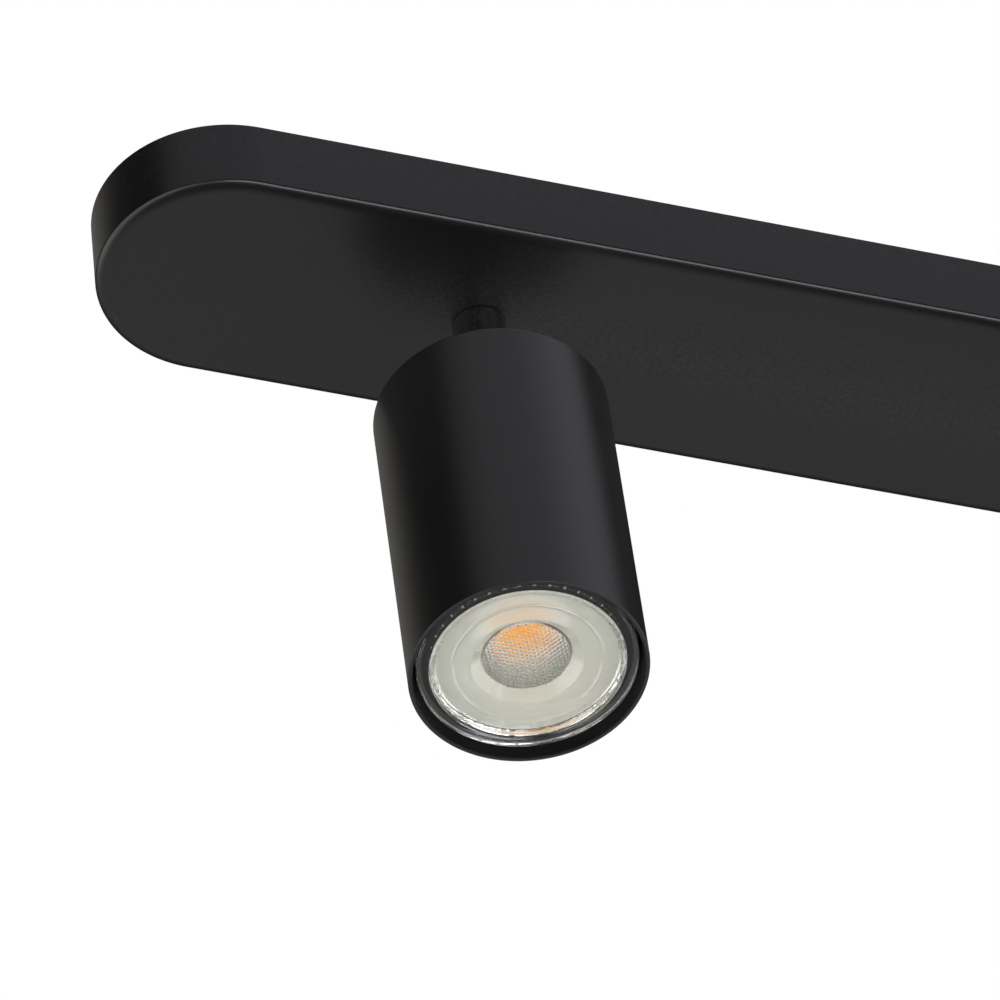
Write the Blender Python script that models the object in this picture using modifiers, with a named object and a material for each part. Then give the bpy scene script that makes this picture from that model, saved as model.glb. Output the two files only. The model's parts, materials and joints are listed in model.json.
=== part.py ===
"""Ceiling bar light with three adjustable spot heads, in metres.

A long pill-shaped canopy is screwed to a bracket on the ceiling. Three round heads hang
below it, each on a hollow stem that swivels and a half-lap knuckle that tilts. Each head
holds a twist-lock reflector lamp. The ceiling is at z = 0, and the bar runs along X.
"""

import math

import bmesh
import bpy
from mathutils import Matrix, Vector

MM = 0.001

# Heads: how many, where they hang and how they lean at rest.
HEAD_COUNT = 3
HEAD_SPACING = 185 * MM
REST_TILT = math.radians(3.5)

# Canopy: a pressed steel tray, open at the ceiling.
CANOPY_END_REACH = 92.5 * MM
CANOPY_WIDTH = 61 * MM
CANOPY_DEPTH = 20 * MM
CANOPY_WALL = 1.0 * MM
CANOPY_BEND = 1.4 * MM

# Stem and knuckle: two lapped halves on M10 threads, with a hole for the lead.
THREAD_RADIUS = 4.8 * MM
THREAD_SPARE = 3.4 * MM
STEM_COLLAR = 1.45 * MM
PIVOT_DROP = 16.5 * MM
PIVOT_TO_HEAD = 15.5 * MM
LEAD_HOLE_RADIUS = 2.5 * MM
LAP_RIM = 1.65 * MM
LAP_WEB = 0.85 * MM
PIVOT_SCREW_RADIUS = 1.7 * MM
PIVOT_HEAD_RADIUS = 3.4 * MM
PIVOT_HEAD_HEIGHT = 1.5 * MM
NUT_WALL = 2.2 * MM
NUT_HEIGHT = 4 * MM
WASHER_RIM = 0.9 * MM
WASHER_THICKNESS = 1.0 * MM

# Lamp: a 50 mm reflector lamp with a two-pin twist-lock base.
LAMP_RADIUS = 25.3 * MM
LAMP_LENGTH = 49 * MM
LAMP_INSET = 2.4 * MM
LAMP_RIM_WIDTH = 2.9 * MM
LAMP_RIM_HEIGHT = 3.2 * MM
LAMP_WALL = 1.3 * MM
LENS_THICKNESS = 2.6 * MM
LENS_FIELD_WIDTH = 9.1 * MM
LENS_WELL_SLOPE = 3.2 * MM
LENS_WELL_DEPTH = 3 * MM
CHIP_BOARD_RADIUS = 9.6 * MM
CHIP_DOT_RADIUS = 7 * MM
CHIP_SETBACK = 11 * MM
LAMP_BASE_RADIUS = 11.2 * MM
LAMP_BASE_SHOWN = 8 * MM
PIN_SPACING = 10 * MM
PIN_LENGTH = 7 * MM
PIN_RADIUS = 1.5 * MM
PIN_FOOT_RADIUS = 2.4 * MM
PIN_FOOT_HEIGHT = 1.4 * MM
LOCK_TURN = math.radians(25)

# Head shell: a closed-top tube round the lamp.
LAMP_CLEARANCE = 1.1 * MM
HEAD_LENGTH = 88 * MM
HEAD_WALL = 1.1 * MM
HEAD_TOP = 1.6 * MM
HEAD_EDGE = 0.8 * MM

# Lampholder and the strap that hangs it under the head's top.
HOLDER_LENGTH = 27 * MM
HOLDER_SIDE_WALL = 0.7 * MM
HOLDER_HEIGHT = 15 * MM
HOLDER_FACE = 2.5 * MM
HOLDER_SCREW_INSET = 3.5 * MM
HOLDER_SCREW_RADIUS = 1.3 * MM
HOLDER_SCREW_HEAD = 2.6 * MM
HOLDER_SCREW_HEAD_HEIGHT = 1.8 * MM
STRAP_WIDTH = 15 * MM
STRAP_THICKNESS = 1.2 * MM
STRAP_EAR = 8.5 * MM

# Ceiling bracket and the screws that hold the canopy to it.
BRACKET_LENGTH = 110 * MM
BRACKET_WIDTH = 28 * MM
BRACKET_THICKNESS = 1.5 * MM
EAR_OFFSET = 38 * MM
EAR_WIDTH = 12 * MM
EAR_DROP = 12 * MM
SLOT_OFFSET = 22 * MM
SLOT_LENGTH = 20 * MM
SLOT_RADIUS = 2.6 * MM
CABLE_HOLE_RADIUS = 6 * MM
CABLE_HOLE_OFFSET = 44 * MM
COVER_SCREW_DROP = 7 * MM
COVER_SCREW_RADIUS = 1.8 * MM
COVER_SCREW_LENGTH = 6 * MM
COVER_SCREW_HEAD = 3.8 * MM
COVER_SCREW_HEAD_HEIGHT = 2.0 * MM

# Earth stud, terminal block and leads, on the tray's floor.
EARTH_STUD_RADIUS = 1.8 * MM
EARTH_STUD_HEIGHT = 10 * MM
EARTH_FLANGE_RADIUS = 3.5 * MM
EARTH_NUT_ACROSS = 7 * MM
EARTH_NUT_HEIGHT = 3 * MM
BLOCK_LENGTH = 16 * MM
BLOCK_WIDTH = 27 * MM
BLOCK_HEIGHT = 12 * MM
BLOCK_POLES = 3
POLE_HOLE_RADIUS = 1.9 * MM
CLAMP_HOLE_RADIUS = 1.5 * MM
POLE_GROOVE_WIDTH = 1.6 * MM
LEAD_RADIUS = 1.6 * MM

# Clearances.
GAP = 0.3 * MM
HOLE_CLEARANCE = 0.5 * MM
LAP_CLEARANCE = 0.4 * MM
PIN_CLEARANCE = 0.4 * MM

ROUND_STEPS = 32
LAMP_STEPS = 24
SMALL_STEPS = 16
HOLE_STEPS = 12
BEND_STEPS = 4
END_STEPS = 16

# What follows from the sizes above.
CANOPY_LENGTH = (HEAD_COUNT - 1) * HEAD_SPACING + 2 * CANOPY_END_REACH
END_RADIUS = CANOPY_WIDTH / 2
FACE_Z = -CANOPY_DEPTH
FLOOR_Z = -(CANOPY_DEPTH - CANOPY_WALL)
HEAD_PLACES = [HEAD_SPACING * (i - (HEAD_COUNT - 1) / 2) for i in range(HEAD_COUNT)]
BLOCK_OFFSET = HEAD_PLACES[-1] - HEAD_SPACING / 2
EARTH_OFFSET = HEAD_PLACES[0] + HEAD_SPACING / 2
COVER_SCREW_PLACES = [(x, side) for x in (-EAR_OFFSET, EAR_OFFSET) for side in (-1, 1)]
POLE_PITCH = BLOCK_WIDTH / BLOCK_POLES
POLE_PLACES = [POLE_PITCH * (i - (BLOCK_POLES - 1) / 2) for i in range(BLOCK_POLES)]
POLE_GROOVES = [y + POLE_PITCH / 2 for y in POLE_PLACES[:-1]]
POLE_Z = FLOOR_Z + GAP + BLOCK_HEIGHT / 3
LEAD_RUN_DROP = BRACKET_THICKNESS + LEAD_RADIUS + 2 * GAP

THREAD_HOLE_RADIUS = THREAD_RADIUS + HOLE_CLEARANCE
THREAD_LENGTH = CANOPY_WALL + WASHER_THICKNESS + NUT_HEIGHT + 2 * GAP + THREAD_SPARE
STEM_RADIUS = THREAD_RADIUS + STEM_COLLAR
SHOULDER = STEM_RADIUS + LAP_CLEARANCE
LAP_HOLLOW_RADIUS = STEM_RADIUS - LAP_RIM
PIVOT_SEAT = STEM_RADIUS - PIVOT_HEAD_HEIGHT - 2 * GAP
LAP_HOLLOW_DEPTH = PIVOT_SEAT - LAP_WEB - LAP_CLEARANCE / 2
NUT_ACROSS = 2 * (THREAD_RADIUS + NUT_WALL)
WASHER_RADIUS = NUT_ACROSS / math.sqrt(3) + WASHER_RIM

HEAD_RADIUS = LAMP_RADIUS + LAMP_CLEARANCE + HEAD_WALL
LENS_RADIUS = LAMP_RADIUS - LAMP_RIM_WIDTH - GAP
LENS_WELL_RADIUS = LENS_RADIUS - LENS_FIELD_WIDTH
LENS_WELL_FLOOR = LENS_WELL_RADIUS - LENS_WELL_SLOPE
LAMP_NECK_RADIUS = LAMP_BASE_RADIUS + GAP + LAMP_WALL
LAMP_FACE_DROP = HEAD_LENGTH - LAMP_INSET
LAMP_SEAT_DROP = LAMP_FACE_DROP - LAMP_LENGTH
FOOT_ROOM = PIN_FOOT_RADIUS + PIN_CLEARANCE
HOLDER_WIDTH = PIN_SPACING + 2 * (FOOT_ROOM + HOLDER_SIDE_WALL)
HOLDER_TOP_DROP = LAMP_SEAT_DROP - GAP - HOLDER_HEIGHT
HOLDER_SCREW_SPACING = HOLDER_LENGTH - 2 * HOLDER_SCREW_INSET


def clear_scene():
    for old in list(bpy.data.objects):
        bpy.data.objects.remove(old, do_unlink=True)


def collection(name, is_helper=False):
    made = bpy.data.collections.new(name)
    bpy.context.scene.collection.children.link(made)
    made.hide_render = is_helper
    return made


def material(name, colour, roughness, metallic=0.0):
    made = bpy.data.materials.new(name)
    made.use_nodes = True
    made.diffuse_color = (*colour, 1)
    shader = made.node_tree.nodes["Principled BSDF"]
    shader.inputs["Base Color"].default_value = (*colour, 1)
    shader.inputs["Roughness"].default_value = roughness
    shader.inputs["Metallic"].default_value = metallic
    return made


def add_object(name, data, parent=None, finish=None):
    """A named piece if it has a finish, and a hidden cutter if not."""
    made = bpy.data.objects.new(name, data)
    (PIECES if finish else CUTTERS).objects.link(made)
    made.parent = parent
    if finish:
        data.materials.append(finish)
    else:
        made.hide_render = True
        made.display_type = "WIRE"
    return made


def empty(name, place, parent=None, turn_x=0.0):
    made = bpy.data.objects.new(name, None)
    PIECES.objects.link(made)
    made.empty_display_size = 10 * MM
    made.location = place
    made.rotation_euler.x = turn_x
    made.parent = parent
    return made


def mesh_from(name, bm, smooth=False):
    if bm.calc_volume(signed=True) < 0:
        bmesh.ops.reverse_faces(bm, faces=bm.faces)
    data = bpy.data.meshes.new(name)
    bm.to_mesh(data)
    bm.free()
    if smooth:
        data.shade_smooth()
        data.set_sharp_from_angle(angle=math.radians(35))
    return data


def revolve(name, profile, parent=None, finish=None, steps=ROUND_STEPS):
    """Turns (radius, z) points round Z. The outer side runs from top to bottom."""
    data = bpy.data.meshes.new(name)
    last = len(profile) - 1
    edges = [(i, i + 1) for i in range(last)]
    if profile[0][0] > 0:
        edges.append((last, 0))
    data.from_pydata([(radius, 0, z) for radius, z in profile], edges, [])
    made = add_object(name, data, parent, finish)
    turn = made.modifiers.new("turn", "SCREW")
    turn.axis = "Z"
    turn.steps = steps
    turn.render_steps = steps
    turn.use_merge_vertices = True
    turn.merge_threshold = 0.01 * MM
    turn.use_smooth_shade = True
    return made


def cylinder(name, radius, low, high, parent=None, finish=None, steps=SMALL_STEPS, axis="Z"):
    """A round bar from low to high along an axis of its parent."""
    bm = bmesh.new()
    bmesh.ops.create_cone(
        bm, cap_ends=True, segments=steps, radius1=radius, radius2=radius, depth=high - low
    )
    bm.transform(Matrix.Translation((0, 0, (low + high) / 2)))
    if axis == "X":
        bm.transform(Matrix.Rotation(math.pi / 2, 4, "Y"))
    if axis == "Y":
        bm.transform(Matrix.Rotation(-math.pi / 2, 4, "X"))
    return add_object(name, mesh_from(name, bm, smooth=True), parent, finish)


def block(name, low, high, parent=None, finish=None):
    """A box between two corners."""
    size = Vector(high) - Vector(low)
    middle = (Vector(high) + Vector(low)) / 2
    bm = bmesh.new()
    bmesh.ops.create_cube(bm, size=1, matrix=Matrix.LocRotScale(middle, None, size))
    return add_object(name, mesh_from(name, bm), parent, finish)


def prism(name, outline, low, high, parent=None, finish=None):
    """An (x, y) outline raised from low to high along Z."""
    bm = bmesh.new()
    floor = [bm.verts.new((x, y, low)) for x, y in outline]
    roof = [bm.verts.new((x, y, high)) for x, y in outline]
    for i, corner in enumerate(floor):
        bm.faces.new((floor[i - 1], corner, roof[i], roof[i - 1]))
    bm.faces.new(floor[::-1])
    bm.faces.new(roof)
    return add_object(name, mesh_from(name, bm), parent, finish)


def cut(piece, cutter, operation="DIFFERENCE"):
    """Takes the cutter from the piece, or joins the two, at the piece's place."""
    change = piece.modifiers.new(cutter.name, "BOOLEAN")
    change.operation = operation
    change.solver = "EXACT"
    change.object = cutter
    return piece


def arc(centre, radius, start, end, steps):
    """Points on an arc in a plane, with angles in radians."""
    angles = [start + (end - start) * i / steps for i in range(steps + 1)]
    return [(centre[0] + radius * math.cos(a), centre[1] + radius * math.sin(a)) for a in angles]


def pill(radius, half_length, steps=END_STEPS):
    """The outline of a bar with half-round ends."""
    straight = half_length - radius
    right = arc((straight, 0), radius, -math.pi / 2, math.pi / 2, steps)
    left = arc((-straight, 0), radius, math.pi / 2, 3 * math.pi / 2, steps)
    return right + left


def kidney(radius, half_width, start, end, steps=4):
    """The outline of a curved slot round the origin."""
    tips = [(radius * math.cos(a), radius * math.sin(a)) for a in (start, end)]
    far = arc((0, 0), radius + half_width, start, end, steps)
    near = arc((0, 0), radius - half_width, end, start, steps)
    end_cap = arc(tips[1], half_width, end, end + math.pi, steps)[1:-1]
    start_cap = arc(tips[0], half_width, start + math.pi, start + 2 * math.pi, steps)[1:-1]
    return far + end_cap + near + start_cap


def tube(name, route, radius, bend, parent, finish):
    """A round lead along a route whose corners are rounded to one bend."""
    points = [Vector(route[0])]
    for before, corner, after in zip(route, route[1:], route[2:]):
        inward = (Vector(corner) - Vector(before)).normalized()
        outward = (Vector(after) - Vector(corner)).normalized()
        half_turn = inward.angle(outward) / 2
        reach = bend * math.tan(half_turn)
        middle = Vector(corner) + (outward - inward).normalized() * bend / math.cos(half_turn)
        start = Vector(corner) - inward * reach - middle
        turn_axis = inward.cross(outward).normalized()
        points += [
            middle + Matrix.Rotation(2 * half_turn * i / BEND_STEPS, 3, turn_axis) @ start
            for i in range(BEND_STEPS + 1)
        ]
    points.append(Vector(route[-1]))
    data = bpy.data.curves.new(name, "CURVE")
    data.dimensions = "3D"
    data.bevel_depth = radius
    data.bevel_resolution = 1
    data.use_fill_caps = True
    line = data.splines.new("POLY")
    line.points.add(len(points) - 1)
    for target, point in zip(line.points, points):
        target.co = (*point, 1)
    return add_object(name, data, parent, finish)


def build_canopy():
    """Pressed tray with half-round ends, a small bend at the face and holes for the stems."""
    half = CANOPY_LENGTH / 2
    inner_bend = CANOPY_BEND - CANOPY_WALL
    rings = [(CANOPY_WALL, 0)]
    rings += [
        (CANOPY_WALL + inner_bend - out, FLOOR_Z + inner_bend - down)
        for out, down in arc((0, 0), inner_bend, 0, math.pi / 2, BEND_STEPS // 2)
    ]
    rings.reverse()
    rings += [(0, 0)]
    rings += [
        (CANOPY_BEND - out, FACE_Z + CANOPY_BEND - down)
        for out, down in arc((0, 0), CANOPY_BEND, 0, math.pi / 2, BEND_STEPS)
    ]
    bm = bmesh.new()
    loops = []
    for inset, z in rings:
        outline = pill(END_RADIUS - inset, half - inset)
        loops.append([bm.verts.new((x, y, z)) for x, y in outline])
    for low, high in zip(loops, loops[1:]):
        for i, corner in enumerate(low):
            bm.faces.new((low[i - 1], corner, high[i], high[i - 1]))
    bm.faces.new(loops[0][::-1])
    bm.faces.new(loops[-1])
    canopy = add_object("canopy", mesh_from("canopy", bm, smooth=True), None, BLACK_COAT)
    for number, x in enumerate(HEAD_PLACES, 1):
        hole = cylinder(f"cut_stem_hole_{number}", THREAD_HOLE_RADIUS, FACE_Z - MM, FLOOR_Z + MM)
        hole.location.x = x
        cut(canopy, hole)
    for number, (x, side) in enumerate(COVER_SCREW_PLACES, 1):
        radius = COVER_SCREW_RADIUS + HOLE_CLEARANCE
        reach = CANOPY_WALL + MM
        hole = cylinder(f"cut_cover_hole_{number}", radius, -reach, reach, steps=HOLE_STEPS, axis="Y")
        hole.location = (x, side * END_RADIUS, -COVER_SCREW_DROP)
        cut(canopy, hole)


def build_ceiling_bracket():
    """Steel strap with four turned-down ears, two fixing slots and a cable hole."""
    half_width = BRACKET_WIDTH / 2
    low_z = -BRACKET_THICKNESS
    ear_y = END_RADIUS - CANOPY_WALL - GAP
    bracket = block(
        "ceiling_bracket",
        (-BRACKET_LENGTH / 2, -half_width, low_z),
        (BRACKET_LENGTH / 2, half_width, 0),
        None,
        ZINC,
    )
    for number, x in enumerate((-EAR_OFFSET, EAR_OFFSET), 1):
        bottom = -EAR_DROP
        step = ear_y - BRACKET_THICKNESS
        outline = [(-ear_y, 0), (-ear_y, bottom), (-step, bottom), (-step, low_z)]
        outline += [(-y, z) for y, z in reversed(outline)]
        ears = prism(f"join_ears_{number}", outline, -EAR_WIDTH / 2, EAR_WIDTH / 2)
        ears.data.transform(Matrix(((0, 0, 1, 0), (1, 0, 0, 0), (0, 1, 0, 0), (0, 0, 0, 1))))
        ears.location.x = x
        cut(bracket, ears, "UNION")
    for number, side in enumerate((-1, 1), 1):
        slot = prism(
            f"cut_fixing_slot_{number}",
            pill(SLOT_RADIUS, SLOT_LENGTH / 2, 6),
            low_z - MM,
            MM,
        )
        slot.location.x = side * SLOT_OFFSET
        cut(bracket, slot)
    cable_hole = cylinder("cut_cable_hole", CABLE_HOLE_RADIUS, low_z - MM, MM)
    cable_hole.location.x = CABLE_HOLE_OFFSET
    cut(bracket, cable_hole)
    for number, (x, side) in enumerate(COVER_SCREW_PLACES, 1):
        radius = COVER_SCREW_RADIUS + PIN_CLEARANCE
        reach = BRACKET_THICKNESS + MM
        hole = cylinder(f"cut_ear_hole_{number}", radius, -reach, reach, steps=HOLE_STEPS, axis="Y")
        hole.location = (x, side * ear_y, -COVER_SCREW_DROP)
        cut(bracket, hole)


def domed_screw(name, parent, finish):
    """Pan-head screw along +Z, its head's underside a gap above the origin, with a cross recess."""
    top = GAP + COVER_SCREW_HEAD_HEIGHT
    dome = 0.4 * COVER_SCREW_HEAD_HEIGHT
    profile = [(0, top), (0.55 * COVER_SCREW_HEAD, top - 0.15 * dome)]
    profile += [(0.88 * COVER_SCREW_HEAD, top - dome), (COVER_SCREW_HEAD, GAP + dome)]
    profile += [(COVER_SCREW_HEAD, GAP), (COVER_SCREW_RADIUS, GAP)]
    profile += [(COVER_SCREW_RADIUS, GAP - COVER_SCREW_LENGTH), (0, GAP - COVER_SCREW_LENGTH)]
    screw = revolve(name, profile, parent, finish, steps=SMALL_STEPS)
    arm = 0.5 * COVER_SCREW_HEAD
    half_slot = 0.13 * COVER_SCREW_HEAD
    floor = top - 0.55 * COVER_SCREW_HEAD_HEIGHT
    long_arm = block(f"cut_{name}_a", (-arm, -half_slot, floor), (arm, half_slot, top + MM), screw)
    cut(screw, long_arm)
    cross_arm = block(f"cut_{name}_b", (-half_slot, -arm, floor), (half_slot, arm, top + MM), screw)
    cut(screw, cross_arm)
    return screw


def build_cover_screws():
    """Four black screws through the canopy's long sides into the bracket's ears."""
    for number, (x, side) in enumerate(COVER_SCREW_PLACES, 1):
        screw = domed_screw(f"cover_screw_{number}", None, BLACK_COAT)
        screw.location = (x, side * END_RADIUS, -COVER_SCREW_DROP)
        screw.rotation_euler.x = -side * math.pi / 2


def nut(name, low_z, height, across, thread_radius, parent, finish):
    """Hexagon nut with its hole, standing on low_z."""
    high_z = low_z + height
    made = cylinder(name, across / math.sqrt(3), low_z, high_z, parent, finish, steps=6)
    hole = cylinder(f"cut_{name}", thread_radius + GAP, low_z - MM, high_z + MM, parent)
    return cut(made, hole)


def build_earth_stud():
    """Flanged brass stud standing on the tray's floor, with its hexagon nut."""
    flange_top = GAP + MM
    top = GAP + EARTH_STUD_HEIGHT
    profile = [(0, top), (EARTH_STUD_RADIUS, top), (EARTH_STUD_RADIUS, flange_top)]
    profile += [(EARTH_FLANGE_RADIUS, flange_top), (EARTH_FLANGE_RADIUS, GAP), (0, GAP)]
    stud = revolve("earth_stud", profile, None, BRASS, steps=SMALL_STEPS)
    nut(
        "earth_nut",
        flange_top + GAP,
        EARTH_NUT_HEIGHT,
        EARTH_NUT_ACROSS,
        EARTH_STUD_RADIUS,
        stud,
        BRASS,
    )
    stud.location = (EARTH_OFFSET, 0, FLOOR_Z)


def build_terminal_block():
    """Moulded three-pole block with wire holes right through and a screw hole at each end."""
    low_z = FLOOR_Z + GAP
    half = BLOCK_LENGTH / 2
    body = block(
        "terminal_block",
        (-half, -BLOCK_WIDTH / 2, low_z),
        (half, BLOCK_WIDTH / 2, low_z + BLOCK_HEIGHT),
        None,
        WHITE_PLASTIC,
    )
    body.location.x = BLOCK_OFFSET
    for number, y in enumerate(POLE_PLACES, 1):
        wire_hole = cylinder(
            f"cut_wire_hole_{number}",
            POLE_HOLE_RADIUS,
            -half - MM,
            half + MM,
            body,
            steps=HOLE_STEPS,
            axis="X",
        )
        wire_hole.location = (0, y, POLE_Z)
        cut(body, wire_hole)
        for end, side in (("a", -1), ("b", 1)):
            screw_hole = cylinder(
                f"cut_clamp_hole_{number}{end}",
                CLAMP_HOLE_RADIUS,
                0,
                BLOCK_HEIGHT,
                body,
                steps=HOLE_STEPS,
            )
            screw_hole.location = (side * BLOCK_LENGTH / 4, y, POLE_Z)
            cut(body, screw_hole)
    for number, y in enumerate(POLE_GROOVES, 1):
        groove = block(
            f"cut_pole_groove_{number}",
            (-half - MM, y - POLE_GROOVE_WIDTH / 2, POLE_Z + POLE_HOLE_RADIUS + MM),
            (half + MM, y + POLE_GROOVE_WIDTH / 2, low_z + BLOCK_HEIGHT + MM),
            body,
        )
        cut(body, groove)


def build_canopy_leads():
    """Sleeved leads from the block's poles to the top of each stem, then down its hole."""
    run_z = -LEAD_RUN_DROP
    stop_z = FACE_Z - PIVOT_DROP + SHOULDER
    bend = CANOPY_DEPTH - THREAD_LENGTH - LEAD_RUN_DROP
    for number, x in enumerate(HEAD_PLACES, 1):
        side = 1 if x > BLOCK_OFFSET else -1
        pole_y = POLE_PLACES[(number - 1) % BLOCK_POLES]
        block_end = BLOCK_OFFSET + side * (BLOCK_LENGTH / 2 + GAP)
        rise_x = block_end + side * 12 * MM
        turn_x = x - side * 14 * MM
        route = [
            (block_end, pole_y, POLE_Z),
            (rise_x, pole_y, POLE_Z),
            (rise_x + side * 12 * MM, pole_y, run_z),
            (turn_x - side * 14 * MM, pole_y, run_z),
            (turn_x, 0, run_z),
            (x, 0, run_z),
            (x, 0, stop_z),
        ]
        tube(f"canopy_lead_{number}", route, LEAD_RADIUS, bend, None, SLEEVE)


def lapped_half(name, parent, side, body_end, thread_end, thread_radius):
    """Half of the knuckle, with its thread: side is +1 for the upper half and -1 for the lower.

    Heights are distances from the pivot, upwards for the upper half.
    """
    up = side
    profile = [(0, up * thread_end), (thread_radius - 0.6 * MM, up * thread_end)]
    profile += [(thread_radius, up * (thread_end - 0.6 * MM)), (thread_radius, up * body_end)]
    profile += [(STEM_RADIUS, up * body_end), (STEM_RADIUS, -up * STEM_RADIUS)]
    profile += [(0, -up * STEM_RADIUS)]
    if side < 0:
        profile.reverse()
    half = revolve(name, profile, parent, BLACK_COAT, steps=SMALL_STEPS)
    far = thread_end + MM
    inner_face = side * LAP_CLEARANCE / 2
    outer_face = -side * (STEM_RADIUS + MM)
    notch_low = min(-side * (STEM_RADIUS + MM), side * SHOULDER)
    notch_high = max(-side * (STEM_RADIUS + MM), side * SHOULDER)
    notch = block(
        f"cut_{name}_notch",
        (min(inner_face, outer_face), -STEM_RADIUS - MM, notch_low),
        (max(inner_face, outer_face), STEM_RADIUS + MM, notch_high),
        parent,
    )
    cut(half, notch)
    nose = cylinder(
        f"keep_{name}_nose",
        STEM_RADIUS,
        -STEM_RADIUS - MM,
        STEM_RADIUS + MM,
        parent,
        steps=ROUND_STEPS,
        axis="X",
    )
    rest = block(
        f"keep_{name}_rest",
        (-STEM_RADIUS - MM, -STEM_RADIUS - MM, min(0, side * far)),
        (STEM_RADIUS + MM, STEM_RADIUS + MM, max(0, side * far)),
        parent,
    )
    cut(nose, rest, "UNION")
    cut(half, nose, "INTERSECT")
    hole = cylinder(
        f"cut_{name}_lead_hole",
        LEAD_HOLE_RADIUS,
        min(side * PIVOT_SCREW_RADIUS, side * far),
        max(side * PIVOT_SCREW_RADIUS, side * far),
        parent,
        steps=HOLE_STEPS,
    )
    cut(half, hole)
    hollow_end = side * (LAP_CLEARANCE / 2 + LAP_HOLLOW_DEPTH)
    hollow = cylinder(
        f"cut_{name}_hollow",
        LAP_HOLLOW_RADIUS,
        min(-side * MM, hollow_end),
        max(-side * MM, hollow_end),
        parent,
        axis="X",
    )
    cut(half, hollow)
    screw_hole = cylinder(
        f"cut_{name}_screw_hole",
        PIVOT_SCREW_RADIUS + GAP,
        -STEM_RADIUS - MM,
        STEM_RADIUS + MM,
        parent,
        steps=HOLE_STEPS,
        axis="X",
    )
    cut(half, screw_hole)
    return half


def build_knuckle(tag, swivel, tilt):
    """Upper half on the canopy's thread, lower half on the head's, and the screw they turn on."""
    upper_pivot = empty(f"upper_pivot_{tag}", (0, 0, -PIVOT_DROP), swivel)
    upper = lapped_half(
        f"stem_{tag}",
        upper_pivot,
        1,
        PIVOT_DROP - GAP,
        PIVOT_DROP + THREAD_LENGTH,
        THREAD_RADIUS,
    )
    counterbore = cylinder(
        f"cut_counterbore_{tag}",
        PIVOT_HEAD_RADIUS + GAP,
        PIVOT_SEAT,
        STEM_RADIUS + MM,
        upper_pivot,
        axis="X",
    )
    cut(upper, counterbore)
    lapped_half(
        f"knuckle_{tag}",
        tilt,
        -1,
        PIVOT_TO_HEAD - GAP,
        PIVOT_TO_HEAD + THREAD_LENGTH,
        THREAD_RADIUS,
    )
    head_low = PIVOT_SEAT + GAP
    head_top = head_low + PIVOT_HEAD_HEIGHT
    screw = revolve(
        f"pivot_screw_{tag}",
        [
            (0, head_top),
            (PIVOT_HEAD_RADIUS, head_top),
            (PIVOT_HEAD_RADIUS, head_low),
            (PIVOT_SCREW_RADIUS, head_low),
            (PIVOT_SCREW_RADIUS, -STEM_RADIUS + MM),
            (0, -STEM_RADIUS + MM),
        ],
        tilt,
        STEEL,
        steps=SMALL_STEPS,
    )
    socket = cylinder(
        f"cut_socket_{tag}", 1.3 * MM, head_top - 0.9 * MM, head_top + MM, screw, steps=6
    )
    cut(screw, socket)
    screw.rotation_euler.y = math.pi / 2


def build_stem_fixings(tag, swivel):
    """Washer and nut that hold the stem on the canopy's floor and set how stiffly it turns."""
    floor = CANOPY_WALL + GAP
    inner = THREAD_RADIUS + GAP
    top = floor + WASHER_THICKNESS
    outline = [(inner, top), (WASHER_RADIUS, top), (WASHER_RADIUS, floor), (inner, floor)]
    revolve(f"stem_washer_{tag}", outline, swivel, ZINC, steps=SMALL_STEPS)
    nut(f"stem_nut_{tag}", top + GAP, NUT_HEIGHT, NUT_ACROSS, THREAD_RADIUS, swivel, ZINC)


def build_shell(tag, head):
    """Closed-top aluminium tube with a small round at its top edge and a hole for the thread."""
    radius = HEAD_RADIUS
    inside = HEAD_RADIUS - HEAD_WALL
    lip = 0.25 * MM
    profile = [(THREAD_HOLE_RADIUS, 0)]
    profile += [
        (radius - HEAD_EDGE + x, -HEAD_EDGE + z)
        for x, z in arc((0, 0), HEAD_EDGE, math.pi / 2, 0, 3)
    ]
    profile += [(radius, -HEAD_LENGTH + lip), (radius - lip, -HEAD_LENGTH)]
    profile += [(inside + lip, -HEAD_LENGTH), (inside, -HEAD_LENGTH + lip)]
    profile += [(inside, -HEAD_TOP), (THREAD_HOLE_RADIUS, -HEAD_TOP)]
    revolve(f"head_shell_{tag}", profile, head, BLACK_COAT)


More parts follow.
